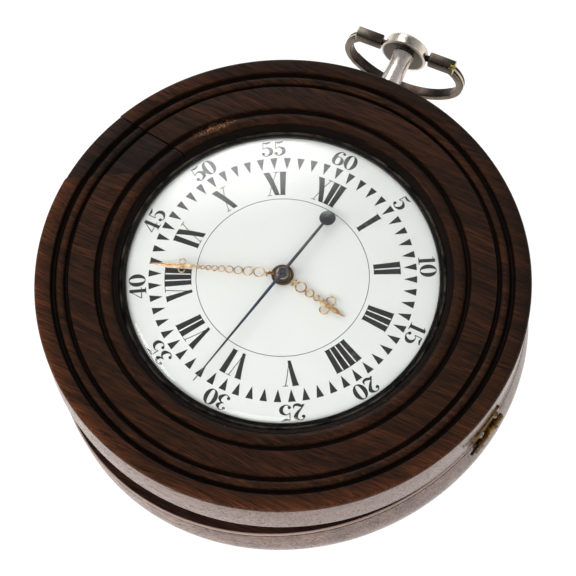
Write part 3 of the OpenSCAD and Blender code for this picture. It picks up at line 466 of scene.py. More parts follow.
def ring_profile(inward=0.0, lower=0.0):
    """The moulded section from the parting line round to the rebate for the watch."""
    top = ring_top - lower
    edge = case_r - inward
    return ([(rebate_r, ring_bot), (edge - 0.5, ring_bot), (edge, ring_bot + 0.5)]
            + curve(edge - corner_r, top - corner_r, corner_r, corner_r, 0, 90, 6)
            + [(edge - outer_groove + 1, top)]
            + curve(edge - outer_groove, top - 0.15, 0.9, groove_deep, 0, -150, 12)
            + curve(edge - outer_bead, top - 0.7, 1.1, 0.68, 0, 180, 12)
            + curve(edge - second_groove, top - 0.1, 0.75, groove_deep - 0.2, -30, -180, 12)
            + [(edge - second_groove - 0.85, top)]
            + [(inner_groove_r + 2.15 - inward, top), (inner_groove_r + 1 - inward, top)]
            + curve(inner_groove_r - inward, top - 0.1, 0.9, groove_deep - 0.2, 0, -154, 12)
            + curve(inner_bead_r - inward, top - 0.8, 1.78, 1.0, 0, 180, 14)
            + curve(lip_r, top - 0.8, slope_r - inward - lip_r, 1.35, 0, -90, 8)
            + [(lip_r, lip_z), (rebate_r, lip_z)])


def let_in_block(near, far):
    """An upright block over the wedge: a straight joint on the XII side, a slanting one on the IX side."""
    outline = [(-1.12 * case_r, 0.384 * case_r - near), (-0.6 * case_r, 0.3135 * case_r - near),
               (-0.6 * case_r, 0.2335 * case_r + far), (-1.12 * case_r, -0.076 * case_r + far)]
    return lofted("wedge", [[(x, y, z) for x, y in outline] for z in (ring_bot - 3, ring_top + 3)])


ring = turned("ring", ring_profile(), 240, ease=ring_ease)
carved(ring, let_in_block(0, 0))
ring_wood = rosewood("ring_rosewood", opened, moulded=ring_top, grooved=ring_top - 0.2, sheen=2.1)
# Tan scuffs and a few pale chips lie along the inner bead, next to the wedge
scuff_place, scuff_half, scuff_turn = (-41.3, 35.8, 46), (9.5, 2.0, 9.5), (0, 0, math.radians(50))
scuffed = ring_wood.node("ShaderNodeMapping", {"vector_type": "TEXTURE"}, {
    "Vector": ring_wood.level, "Location": scuff_place, "Rotation": scuff_turn, "Scale": scuff_half})
scuffed = ring_wood.length(scuffed).between(1.15, 0.4)
scrapes = ring_wood.noise(ring_wood.stretched(ring_wood.level, (1, 1, 0.5)), 1.5, 4.0, 0.75)
scrapes = scrapes.between(0.47, 0.62)
ring_wood.wear(Base_Color=ring_wood.mix(scuffed * scrapes * 0.85, ring_wood.colour, paint(176, 124, 84)))
settle(ring, "front", ring_wood.material, opened, nodes=["front_ring"], slot="dark_wood")

wedge_low = 0.12
wedge = turned("let_in_wedge", ring_profile(0.22, wedge_low), 240, ease=ring_ease)
carved(wedge, let_in_block(0.46, 0.05), "INTERSECT")
wedge_wood = rosewood("wedge_wood", opened, dark=(15, 11, 10), brown=(32, 22, 18), warm=(52, 34, 26),
                      moulded=ring_top - wedge_low, grooved=ring_top - wedge_low - 0.2,
                      shift=(20, 4, 9), gloss=0.8)
settle(wedge, "front", wedge_wood.material, opened, nodes=["ring_let_in_piece"], slot="repair_wood")


# The case hinge, its pin and screws, and the hook, stud and screw opposite: cast and filed
# brass gone brown, with browned steel for the pin and the screws.
def old_metal(name, bright, dull, rough=0.3, turned_by=None, scale=0.6, metallic=1.0, spots=0.5):
    """Metal that is rubbed bright in places and tarnished in others, with fine scratches."""
    metal = Finish(name, Metallic=metallic)
    where = metal.place(turned_by)
    stain = metal.noise(where, scale, 4.0, 0.62)
    scratch = metal.noise(metal.stretched(where, (0.3, 2.2, 2.2)), 2.0, 3.0, 0.6)
    spot = metal.noise(where, scale * 4.5, 2.0, 0.6).between(0.62, 0.74)
    colour = metal.mix(stain.between(0.36, 0.64), paint(*bright), paint(*dull))
    colour = metal.mix(spot * spots, colour, paint(*[c * 0.35 for c in dull]))
    return metal.wear(Base_Color=colour, Roughness=rough + stain * 0.25 + spot * 0.2,
                      Normal=metal.bump(scratch * 0.4 - spot, 0.03))


def refinish(names, finish):
    """Gives carried-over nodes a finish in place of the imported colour."""
    for name in names:
        mesh = frame["nodes"][name].data
        mesh.materials.clear()
        mesh.materials.append(finish)


refinish(["hinge_lower_leaf", "catch_stud"], old_metal("hinge_brass", (132, 100, 58), (66, 48, 32)))
refinish(["hinge_upper_leaf", "catch_hook"],
         old_metal("ring_brass", (176, 140, 76), (96, 68, 38), 0.26, opened))
refinish(["hinge_upper_screws"], old_metal("grey_screws", (152, 142, 130), (84, 74, 66), 0.24, opened))
refinish(["hinge_pin", "hinge_lower_screws"], old_metal("browned_steel", (120, 100, 82), (52, 42, 36), 0.3))
refinish(["catch_screw"], old_metal("browned_screw", (120, 100, 82), (52, 42, 36), 0.3, opened))


# The silver case of the watch, its bezel and the domed crystal. The case is spun and polished
# plain; only the thin bead of the bezel shows between the glass and the wood.
silver_t = 1.2
bezel_bot = lip_z - 3.4
plate_r = 47.0
silver = old_metal("watch_silver", (226, 222, 214), (176, 168, 156), 0.16, opened, 0.05, spots=0.15)
back_shell = turned(
    "silver_back",
    [(0, back_z)] + back_curve(0, -90, 0, 24)
    + [(watch_r, bezel_bot - 0.05), (plate_r + 0.6, bezel_bot - 0.05), (plate_r + 0.6, bezel_bot - 1),
       (watch_r - silver_t, bezel_bot - 1)]
    + back_curve(-silver_t, 0, -90, 24) + [(0, back_z + silver_t)],
    closed=False, ease=0.12)
settle(back_shell, "front", silver, opened, nodes=["silver_case"], slot="silver")

glass_z = lip_z + 0.6
edge_r = 50.4
dial_r = glass_r + 0.4
bezel = turned(
    "silver_bezel",
    [(edge_r + 0.2, bezel_bot), (watch_r, bezel_bot), (watch_r, lip_z), (lip_r - 0.1, lip_z)]
    + curve((glass_r + lip_r - 0.1) / 2, glass_z + 0.1, (lip_r - 0.1 - glass_r) / 2, 0.35, 0, 180, 8)
    + [(glass_r, glass_z - 0.55), (glass_r - 0.8, glass_z - 0.55), (glass_r - 0.8, lip_z - 0.1),
       (dial_r + 0.7, lip_z - 0.45), (edge_r + 0.2, lip_z - 1)], ease=0.1)
# The bezel is the same silver given dark colours: painted shade where it lies under the wood
bezel_silver = old_metal("bezel_silver", (92, 84, 76), (30, 26, 23), 0.45, opened, 0.2, spots=0.5)
settle(bezel, "front", bezel_silver, opened, nodes=["silver_bezel"], slot="silver")

glass_rise = 7.0
glass_t = 1.1
glass_fit = glass_r - 0.03
crystal = turned("crystal", [(glass_fit - glass_t, glass_z - 0.5), (glass_fit, glass_z - 0.5)]
                 + curve(0, glass_z, glass_fit, glass_rise, 0, 90, 40)[:-1] + [(0, glass_z + glass_rise)]
                 + [(0, glass_z + glass_rise - glass_t)]
                 + curve(0, glass_z, glass_fit - glass_t, glass_rise - glass_t, 90, 0, 40)[1:])
clear = Finish("crystal_glass", IOR=1.46, Roughness=0.0, Transmission_Weight=1.0)
clear.shader.inputs["Base Color"].default_value = (0.995, 0.995, 0.99, 1)
lamp_ray = clear.node("ShaderNodeLightPath", out=1)
through = clear.node("ShaderNodeBsdfTransparent", None, {"Color": (0.97, 0.98, 0.975, 1)})
passing = clear.node("ShaderNodeMixShader", None, {
    0: lamp_ray, 1: Socket(clear, clear.shader.outputs[0]), 2: through})
clear.tree.links.new(passing.link, clear.tree.nodes["Material Output"].inputs["Surface"])
# Its ground edge, walls and foot, gets a near-black finish: painted shade, so that no light shines through
# the edge
ground = [face.index for face in crystal.data.polygons
          if face.center.z < glass_z + 0.02 and abs(face.normal.z) < 0.5 or face.center.z < glass_z - 0.4]
settle(crystal, "front", clear.material, opened, 60, nodes=["watch_glass"], slot="clear_glass")


def second_finish(piece, finish, faces):
    """Gives some faces of a settled piece another finish."""
    piece.data.materials.append(finish)
    for i in faces:
        piece.data.polygons[i].material_index = 1


# A near-black finish for the glass's edge: painted shade
glass_edge_black = old_metal("dark_cement", (24, 22, 20), (12, 11, 10), 0.7, opened, metallic=0.0)
second_finish(crystal, glass_edge_black, ground)


# The dial: a copper disc, enamelled white in several firings and slightly domed. The chapters
# and figures are painted in black enamel and fired on; sixty triangles mark the minutes.
dial_sag = 0.26


def dial_height(r):
    """Level of the domed enamel at a distance from the centre; it falls faster near the edge."""
    return dial_z - dial_sag * (r / dial_r) ** 2 * (1 + (r / dial_r) ** 6 * 0.4)


dial_hole = 3.0
dial_rings = [dial_hole + (dial_r - 0.5 - dial_hole) * i / 24 for i in range(25)]
dial_plate = turned("dial_plate", [(r, dial_height(r)) for r in dial_rings]
                    + curve(dial_r - 0.5, dial_height(dial_r - 0.5) - 0.35, 0.5, 0.35, 90, 0, 5)
                    + [(dial_r, dial_z - 1), (dial_hole, dial_z - 1)])
enamel = Finish("white_enamel", Roughness=0.12, Coat_Weight=0.5, Coat_Roughness=0.03)
enamel_place = enamel.place(opened)
cloud = enamel.noise(enamel_place, 0.05, 3.0, 0.5)
specks = enamel.noise(enamel_place, 2.6, 1.0, 0.4).between(0.765, 0.80)
from_middle = enamel.length(enamel.stretched(enamel_place, (1, 1, 0)))
# A painted shadow: the enamel greys toward its rim, where the ring and bezel shade it
enamel_white = enamel.layers(enamel.mix(cloud, paint(224, 226, 224), paint(232, 233, 230)),
                             (specks * 0.35, paint(150, 145, 138)),
                             (from_middle.between(45.5, 49.3) * 0.5, paint(168, 172, 170)))
orange_peel = enamel.noise(enamel_place, 0.35, 2.0, 0.5)
settle(dial_plate, "front", enamel.wear(Base_Color=enamel_white, Normal=enamel.bump(orange_peel, 0.03)),
       opened, nodes=["dial"], slot="white_enamel")


ink_thick = 0.03


def beside(points, i, closed):
    """The point at a place in a line, going round or stopping at its ends."""
    return points[i % len(points) if closed else min(max(i, 0), len(points) - 1)]


class Ink:
    """Flat painted shapes, gathered in one mesh and laid on the dial."""

    def __init__(self):
        self.shape = bmesh.new()

    def patch(self, outline):
        """A filled outline given in dial millimetres: x to III, y to XII."""
        top, foot = [[self.shape.verts.new((x, y, dial_height(math.hypot(x, y)) + lift)) for x, y in outline]
                     for lift in (ink_thick, -ink_thick)]
        self.shape.faces.new(top)
        loft(self.shape, [top, foot])

    def stroke(self, points, put, closed=False, steps=5):
        """A brush stroke through points of x, y and width, each placed by put."""
        line = []
        for i in range(len(points) if closed else len(points) - 1):
            four = [beside(points, i + k, closed) for k in (-1, 0, 1, 2)]
            for t in [s / steps for s in range(steps)]:
                line.append([0.5 * (2 * b + (c - a) * t + (2 * a - 5 * b + 4 * c - d) * t * t
                                    + (3 * b - a - 3 * c + d) * t ** 3) for a, b, c, d in zip(*four)])
        if not closed:
            line.append(list(points[-1]))
        sides = []
        for i, (x, y, w) in enumerate(line):
            before, after = beside(line, i - 1, closed), beside(line, i + 1, closed)
            along = Vector((after[0] - before[0], after[1] - before[1])).normalized()
            across = Vector((-along.y, along.x)) * abs(w) / 2
            sides.append(((x + across.x, y + across.y), (x - across.x, y - across.y)))
        for i in range(len(sides) if closed else len(sides) - 1):
            j = (i + 1) % len(sides)
            self.patch([put(*p) for p in (sides[i][0], sides[j][0], sides[j][1], sides[i][1])])

    def dot(self, x, y, r, put):
        self.patch([put(x + r * math.cos(a), y + r * math.sin(a)) for a in once_round(12)])

    def band(self, low, high, sides=180):
        """A thin painted circle between two radii."""
        inner, outer = [[(r * math.cos(a), r * math.sin(a)) for a in once_round(sides)] for r in (low, high)]
        for i in range(sides):
            j = (i + 1) % sides
            self.patch([inner[i], inner[j], outer[j], outer[i]])


ink = Ink()
chapter_low, chapter_high = 27.6, 35.7
chapter_mid = (chapter_low + chapter_high) / 2
stem_w = 1.65
hair_w = 0.2
# Each letter: width, strokes from foot left and right to head right and left, and serifs
letters = {
    "I": (2.05, [(-stem_w / 2, stem_w / 2, stem_w / 2, -stem_w / 2)], [(0, 0.01, 1.02), (0, 0.99, 1.02)]),
    "V": (4.5, [(-0.6, 0.5, -0.5, -0.5 - stem_w), (-0.1, 0.12, 1.5, 1.28)],
          [(-1.3, 0.99, 0.95), (1.4, 0.99, 0.7)]),
    "X": (4.5, [(0.5, 0.5 + stem_w, -0.5, -0.5 - stem_w), (-1.6, -1.38, 1.6, 1.38)],
          [(x, y, 0.8) for y in (0.01, 0.99) for x in (-1.4, 1.4)]),
}


def roman(hour, word):
    """A chapter painted with its feet to the centre, each stroke widening outward."""
    high = chapter_high - chapter_low
    thin = hair_w / high / 2

    def put(x, y):
        turn = math.radians(90 - hour * 30) - x / chapter_mid
        r = chapter_low + y * high
        return r * math.cos(turn), r * math.sin(turn)

    x = -sum(letters[letter][0] for letter in word) / 2
    for letter in word:
        wide, strokes, serifs = letters[letter]
        mid = x + wide / 2
        for foot_left, foot_right, head_right, head_left in strokes:
            corners = [(foot_left, 0), (foot_right, 0), (head_right, 1), (head_left, 1)]
            quad(put, [(mid + at, y) for at, y in corners])
        for at, y, half in serifs:
            ends = [mid + at - half + half * k / 2 for k in range(5)]
            for a, b in zip(ends, ends[1:]):
                ink.patch([put(a, y - thin), put(b, y - thin), put(b, y + thin), put(a, y + thin)])
        x += wide


def quad(put, corners, parts=4):
    """A straight-sided patch, cut across so that it follows the dome."""
    a, b, c, d = [Vector(p) for p in corners]
    for k in range(parts):
        s, t = k / parts, (k + 1) / parts
        ink.patch([put(*a.lerp(d, s)), put(*b.lerp(c, s)), put(*b.lerp(c, t)), put(*a.lerp(d, t))])


for hour, word in enumerate(["I", "II", "III", "IIII", "V", "VI", "VII", "VIII", "IX", "X", "XI", "XII"], 1):
    roman(hour, word)


def oval(x, y, wide, high, thick, steps):
    """A closed stroke, widest at its sides."""
    return [(x + wide * math.cos(a), y + high * math.sin(a), 0.035 + thick * abs(math.cos(a)) ** 1.5)
            for a in once_round(steps)]


# Each figure: width, strokes of points with x, y and width, and dots; its height is 1
figures = {
    "0": (0.60, [(oval(0.30, 0.5, 0.235, 0.47, 0.15, 16), True)], []),
    "1": (0.46, [([(0.25, 0.03, 0.16), (0.25, 0.5, 0.16), (0.25, 0.97, 0.16)], False),
                 ([(0.05, 0.02, 0.04), (0.25, 0.02, 0.04), (0.45, 0.02, 0.04)], False),
                 ([(0.04, 0.84, 0.03), (0.14, 0.86, 0.04), (0.24, 0.97, 0.03)], False)], []),
    "2": (0.62, [([(0.07, 0.74, 0.06), (0.13, 0.92, 0.05), (0.31, 0.97, 0.05), (0.50, 0.78, 0.17),
                   (0.40, 0.52, 0.13), (0.18, 0.24, 0.06), (0.05, 0.06, 0.03)], False),
                 ([(0.05, 0.05, 0.05), (0.20, 0.13, 0.12), (0.38, 0.05, 0.14), (0.55, 0.09, 0.09),
                   (0.58, 0.26, 0.03)], False)], [(0.12, 0.76, 0.085)]),
    "3": (0.60, [([(0.09, 0.86, 0.05), (0.27, 0.97, 0.045), (0.46, 0.79, 0.15), (0.36, 0.59, 0.07),
                   (0.22, 0.54, 0.03)], False),
                 ([(0.22, 0.54, 0.03), (0.42, 0.50, 0.07), (0.51, 0.28, 0.17), (0.30, 0.03, 0.05),
                   (0.08, 0.12, 0.05)], False)], [(0.12, 0.82, 0.075), (0.11, 0.18, 0.08)]),
    "4": (0.66, [([(0.42, 0.97, 0.04), (0.22, 0.62, 0.035), (0.02, 0.28, 0.04)], False),
                 ([(0.02, 0.27, 0.04), (0.30, 0.27, 0.04), (0.62, 0.27, 0.04)], False),
                 ([(0.43, 0.03, 0.15), (0.43, 0.5, 0.15), (0.43, 0.97, 0.15)], False),
                 ([(0.26, 0.02, 0.04), (0.43, 0.02, 0.04), (0.60, 0.02, 0.04)], False)], []),
    "5": (0.60, [([(0.12, 0.96, 0.04), (0.30, 0.90, 0.11), (0.52, 0.98, 0.04)], False),
                 ([(0.12, 0.96, 0.035), (0.11, 0.73, 0.035), (0.10, 0.50, 0.035)], False),
                 ([(0.10, 0.50, 0.03), (0.28, 0.61, 0.05), (0.50, 0.46, 0.15), (0.50, 0.20, 0.15),
                   (0.28, 0.03, 0.05), (0.08, 0.13, 0.05)], False)], [(0.11, 0.19, 0.08)]),
    "6": (0.60, [(oval(0.30, 0.30, 0.22, 0.275, 0.13, 14), True),
                 ([(0.085, 0.30, 0.14), (0.10, 0.62, 0.13), (0.26, 0.92, 0.05), (0.46, 0.94, 0.04)], False)],
          [(0.47, 0.86, 0.075)]),
}
figure_r = 44.0
figure_high = 5.3
figure_wide = 1.12
figure_gap = 0.06
bold = 1.2
for minute in range(5, 61, 5):
    word = str(minute)
    turn = math.radians(90 - minute * 6)
    out = Vector((math.cos(turn), math.sin(turn)))
    right = Vector((math.sin(turn), -math.cos(turn)))
    x = -sum(figures[c][0] for c in word) / 2 - figure_gap / 2 * (len(word) - 1)
    for c in word:
        wide, strokes, dots = figures[c]

        def put(u, v, x=x):
            p = out * (figure_r + (v - 0.5) * figure_high) + right * (x + u) * figure_high * figure_wide
            return p.x, p.y

        for points, closed in strokes:
            ink.stroke([(u, v, w * bold) for u, v, w in points], put, closed)
        for u, v, r in dots:
            ink.dot(u, v, r * 1.1, put)
        x += wide + figure_gap

# A thin circle runs inside the chapters
ink.band(26.1, 26.27)
numerals = piece_of(ink.shape, "dial_figures")
black = Finish("black_enamel", Specular_IOR_Level=0.5)
fired = black.noise(black.place(opened), 1.2, 3.0, 0.6)
black_enamel = black.wear(Base_Color=black.mix(fired, paint(16, 16, 18), paint(34, 33, 34)),
                          Roughness=0.16 + fired * 0.15)
settle(numerals, "front", black_enamel, opened, slot="white_enamel")


class Growing:
    """A Geometry Nodes tree built up node by node."""

    def __init__(self, name, sizes):
        self.group = bpy.data.node_groups.new(name, "GeometryNodeTree")
        self.ids = {}
        for key, kind, value in sizes:
            item = self.group.interface.new_socket(key, in_out="INPUT", socket_type=kind)
            if value is not None:
                item.default_value = value
            self.ids[key] = item.identifier
        self.group.interface.new_socket("Geometry", in_out="OUTPUT", socket_type="NodeSocketGeometry")
        self.start = self.group.nodes.new("NodeGroupInput")

    def size(self, key):
        return self.start.outputs[key]

    def node(self, kind, settings=None, values=None, out=0):
        made = self.group.nodes.new(kind)
        for key, value in (settings or {}).items():
            setattr(made, key, value)
        for key, value in (values or {}).items():
            if isinstance(value, bpy.types.NodeSocket):
                self.group.links.new(value, made.inputs[key])
            else:
                made.inputs[key].default_value = value
        return made.outputs[out]

    def sum(self, operation, *values):
        return self.node("ShaderNodeMath", {"operation": operation}, dict(enumerate(values)))

    def finish(self, geometry):
        whole = self.node("GeometryNodeRealizeInstances", None, {0: geometry})
        coated = self.node("GeometryNodeSetMaterial", None, {0: whole, "Material": self.size("Finish")})
        self.group.links.new(coated, self.group.nodes.new("NodeGroupOutput").inputs[0])

    def grow(self, name, **sizes):
        """A mesh object made by the tree with these sizes."""
        seed = new_object(name, bpy.data.meshes.new(name))
        grower = seed.modifiers.new("grow", "NODES")
        grower.node_group = self.group
        for key, value in sizes.items():
            grower[self.ids[key.replace("_", " ")]] = value
        return baked(seed)


mark_low, mark_high, mark_half = 36.6, 40.6, 1.14
mark_corners = [(mark_low, 0), (mark_high, -mark_half), (mark_high, mark_half)]
mark = lofted("mark", [[(x, y, dial_height(x) + lift) for x, y in mark_corners]
                       for lift in (ink_thick, -ink_thick)])

around = Growing("round_the_dial", [
    ("Count", "NodeSocketInt", 60), ("Turn", "NodeSocketFloat", 0.1),
    ("Mark", "NodeSocketObject", None), ("Finish", "NodeSocketMaterial", None)])
spots = around.node("GeometryNodeMeshLine", None, {"Count": around.size("Count"), "Offset": (0, 0, 0)})
angle = around.sum("MULTIPLY", around.node("GeometryNodeInputIndex"), around.size("Turn"))
copies = around.node("GeometryNodeInstanceOnPoints", None, {
    "Points": spots,
    "Instance": around.node("GeometryNodeObjectInfo", None, {"Object": around.size("Mark")}, out=4),
    "Rotation": around.node("ShaderNodeCombineXYZ", None, {2: angle})})
around.finish(copies)
minute_marks = around.grow("minute_marks", Count=60, Turn=math.radians(6), Mark=mark, Finish=black_enamel)
bpy.data.objects.remove(mark)
settle(minute_marks, "front", black_enamel, opened, slot="white_enamel")


# The hour and minute hands: brass, pierced as a row of rings that shrink towards the tip, with
# a pair of rings like leaves behind the pointer, filed round on top and gilt. The wire rings
# are grown along the hand.
ring_row = Growing("ring_row", [
    ("Count", "NodeSocketInt", 10), ("Start", "NodeSocketFloat", 5.0), ("First", "NodeSocketFloat", 1.7),
    ("Shrink", "NodeSocketFloat", 0.9), ("Wire", "NodeSocketFloat", 0.2),
    ("Level", "NodeSocketFloat", 0.0), ("Finish", "NodeSocketMaterial", None)])
number = ring_row.node("GeometryNodeInputIndex")
shrunk = ring_row.sum("POWER", ring_row.size("Shrink"), number)
ring_r = ring_row.sum("MULTIPLY", ring_row.size("First"), shrunk)
passed = ring_row.sum("DIVIDE", ring_row.sum("SUBTRACT", 1.0, shrunk),
                      ring_row.sum("SUBTRACT", 1.0, ring_row.size("Shrink")))
passed = ring_row.sum("MULTIPLY", ring_row.sum("MULTIPLY", passed, 2.0), ring_row.size("First"))
along = ring_row.sum("ADD", ring_row.sum("ADD", passed, ring_row.size("Start")), ring_r)
row = ring_row.node("GeometryNodeMeshLine", None, {"Count": ring_row.size("Count"), "Offset": (0, 0, 0)})
row = ring_row.node("GeometryNodeSetPosition", None, {
    "Geometry": row,
    "Position": ring_row.node("ShaderNodeCombineXYZ", None, {0: along, 2: ring_row.size("Level")})})
loop = ring_row.node("GeometryNodeCurvePrimitiveCircle", None, {"Resolution": 28, "Radius": 1.0})
loops = ring_row.node("GeometryNodeInstanceOnPoints", None, {
    "Points": row, "Instance": loop,
    "Scale": ring_row.node("ShaderNodeCombineXYZ", None, {
        0: ring_row.sum("SUBTRACT", ring_r, ring_row.size("Wire")),
        1: ring_row.sum("SUBTRACT", ring_r, ring_row.size("Wire")), 2: 1.0})})
loops = ring_row.node("GeometryNodeRealizeInstances", None, {0: loops})
section = ring_row.node("GeometryNodeCurvePrimitiveCircle", None, {
    "Resolution": 8, "Radius": ring_row.size("Wire")})
wires = ring_row.node("GeometryNodeCurveToMesh", None, {"Curve": loops, "Profile Curve": section})
ring_row.finish(wires)


def joined(name, pieces):
    """Several objects as one mesh."""
    shape = bmesh.new()
    for piece in pieces:
        shape.from_mesh(piece.data)
        bpy.data.objects.remove(piece)
    return piece_of(shape, name, welded=False)


def wire_ring(name, x, y, z, r, wire, sides=28, section=8):
    """A round wire bent to a ring and laid flat."""
    rounds = [[(x + (r + wire * math.cos(b)) * math.cos(a), y + (r + wire * math.cos(b)) * math.sin(a),
                z + wire * math.sin(b)) for b in once_round(section)] for a in once_round(sides)]
    return lofted(name, rounds, closed=True, capped=False)


def leaf(name, stations, z, thick):
    """A blade filed to a ridge: stations of distance along the hand and half width."""
    return lofted(name, [[(x, -half, z), (x, -half * 0.6, z + thick * 0.7), (x, 0, z + thick),
                          (x, half * 0.6, z + thick * 0.7), (x, half, z)] for x, half in stations])


def lifted(z, *points):
    """Points of a turned profile whose heights are counted from z."""
    return [(r, z + up) for r, up in points]


hand_t = 0.4
hour_z = dial_z + 0.6
minute_z = hour_z + 0.9
seconds_z = minute_z + 0.9
gilt = old_metal("gilt", (255, 226, 170), (182, 134, 88), 0.2, opened, 0.7, spots=0.4)


def pointed(piece, clockwise):
    """Turns a hand drawn along +X to its direction on the dial."""
    piece.data.transform(Matrix.Rotation(math.radians(-clockwise), 4, "Z"))
    return piece


def gilt_hand(name, z, clockwise, collet, bore, start, count, first, shrink, wire, boss, leaf_ring,
              tip, half):
    """A hand: collet, neck and cross bar, rings, boss, two side rings and a pointer."""

    def blade(part, stations, thick=hand_t):
        return leaf(name + part, stations, z, thick)

    end = start + sum(2 * first * shrink ** i for i in range(count))
    mid = z + hand_t / 2
    x, y, r = leaf_ring
    pieces = [
        turned(name + "_collet", lifted(
            z, (bore, 0), (collet, 0), (collet, hand_t - 0.05), (collet - 0.5, hand_t + 0.12),
            (bore + 0.5, hand_t + 0.12), (bore, hand_t)), 64, ease=0.06),
        blade("_neck", [(collet - 0.3, 0.55), (start - 0.8, 0.42), (start + 0.15, 0.42)]),
        blade("_bar", [(start - 0.95, 0.3), (start - 0.9, 1.25), (start - 0.35, 1.25), (start - 0.3, 0.3)]),
        ring_row.grow(name + "_rings", Count=count, Start=start, First=first, Shrink=shrink,
                      Wire=wire, Level=mid),
        blade("_boss", [(end - 0.2, 0.35), (end + boss * 0.4, boss), (end + boss, boss * 0.8),
                        (end + boss * 1.6, boss), (end + boss * 2, 0.3)], hand_t + 0.1),
        blade("_pointer", [(end + boss, 0.35), (x + r * 0.4, half * 0.5), (x + r + (tip - x) * 0.2, half),
                           (tip - (tip - x) * 0.3, half * 0.55), (tip - 0.6, 0.14), (tip, 0.04)]),
    ]
    for s in (-1, 1):
        pieces.append(wire_ring(name + "_leaf_ring", x, s * y, mid, r - wire, wire))
        pieces.append(blade("_curl", [(x - r - 0.6, 0.1), (x - r * 0.5, 0.26), (x, 0.12)]))
    return pointed(joined(name, pieces), clockwise)


collet_bronze = old_metal("collet_bronze", (120, 92, 62), (56, 42, 32), 0.24, opened)
hour_hand = gilt_hand("hour_hand_gilt", hour_z, 10.8, collet=3.4, bore=2.5, start=5.0, count=4, first=1.88,
                      shrink=0.775, wire=0.24, boss=0.9, leaf_ring=(16.9, 1.75, 1.6), tip=23.3, half=0.8)
minute_hand = gilt_hand("minute_hand_gilt", minute_z, 159.7, collet=2.3, bore=1.5, start=5.3, count=10,
                        first=1.77, shrink=0.893, wire=0.19, boss=0.8, leaf_ring=(30.5, 1.35, 1.12),
                        tip=40.6, half=0.75)
for hand, body in ((hour_hand, "hour"), (minute_hand, "minute")):
    # The collets have gone dark where the hands are held
    bronzed = [face.index for face in hand.data.polygons if face.center.xy.length < 3.5]
    settle(hand, body, gilt, opened, 40, nodes=[body + "_hand"], slot="gilt_hands")
    second_finish(hand, collet_bronze, bronzed)


# The seconds hand: one thin strip of blued steel with a round counterweight, pressed on the
# seconds arbor above the cannon's steel cap.
needle_t = 0.22
weight_x, weight_r = -22.8, 2.5
seconds_clockwise = 101
seconds_parts = [
    leaf("needle", [(-21, 0.44), (-1, 0.52), (1, 0.52), (20, 0.38), (43.2, 0.17), (43.5, 0.03)],
         seconds_z, needle_t),
    turned("seconds_hub", lifted(
        seconds_z, (0, 0.1), (1.35, 0), (1.35, 0.3), (1.1, 0.4), (1.1, 1.9), (0.95, 2.05), (0.62, 2.05),
        (0.5, 1.5), (0, 1.4)), 48, closed=False, ease=0.05),
]
disc = turned("disc", lifted(
    seconds_z, (0, 0), (weight_r, 0), (weight_r, 0.15), (weight_r - 0.2, 0.25), (0, 0.27)),
    64, closed=False, ease=0.04)
disc.data.transform(Matrix.Translation((weight_x, 0, 0)))
seconds_parts.append(disc)
seconds_hand = pointed(joined("seconds_hand_blue", seconds_parts), seconds_clockwise)
blue = Finish("blued_steel", Metallic=1.0)
blue_place = blue.place(opened)
heat = blue.noise(blue_place, 0.25, 3.0, 0.5)
along_hand = blue.part(blue.node("ShaderNodeMapping", None, {
    "Vector": blue_place, "Rotation": (0, 0, math.radians(seconds_clockwise))}), 0)
steel_grey = blue.mix(heat.between(0.35, 0.65), paint(104, 104, 110), paint(80, 78, 82))
steel_blue = blue.mix(heat.between(0.35, 0.65), paint(62, 78, 108), paint(64, 68, 84))
# The colour is worn to grey at the tail and near the tip
still_blue = along_hand.between(-3.0, 6.0) * along_hand.between(44.0, 22.0)
blue_steel = blue.wear(Base_Color=blue.mix(still_blue, steel_grey, steel_blue), Roughness=0.3 + heat * 0.14)
settle(seconds_hand, "seconds", blue_steel, opened, 40, nodes=["seconds_hand"], slot="blued_steel")

cap = turned("cannon_cap", lifted(
    minute_z + hand_t, (1.2, -0.1), (2.0, -0.1), (2.0, 0.15), (1.75, 0.3), (1.2, 0.3)), 48, ease=0.06)
cap_steel = old_metal("cap_steel", (196, 190, 180), (116, 108, 100), 0.2, opened)
settle(cap, "minute", cap_steel, opened, slot="gilt_hands")


# The pendant and its bow: cast silver, long tarnished. The stem comes out through the slot in
# the rim and carries a round head with a thin flange; the bow swings on two short pivots,
# its band reeded outside, its ends left as square lugs.
bow_axis_r = 98.9
head_t = 4.6
head_r = 7.8
stem_start = watch_r - 2
stem_end = bow_axis_r - head_t / 2
stem_aside = bow_axis_r * math.sin(pendant_lean)
out_along_y = Matrix.Rotation(math.radians(-90), 4, "X")
pendant_place = pendant_turn @ Matrix.Translation((0, 0, pendant_z)) @ out_along_y


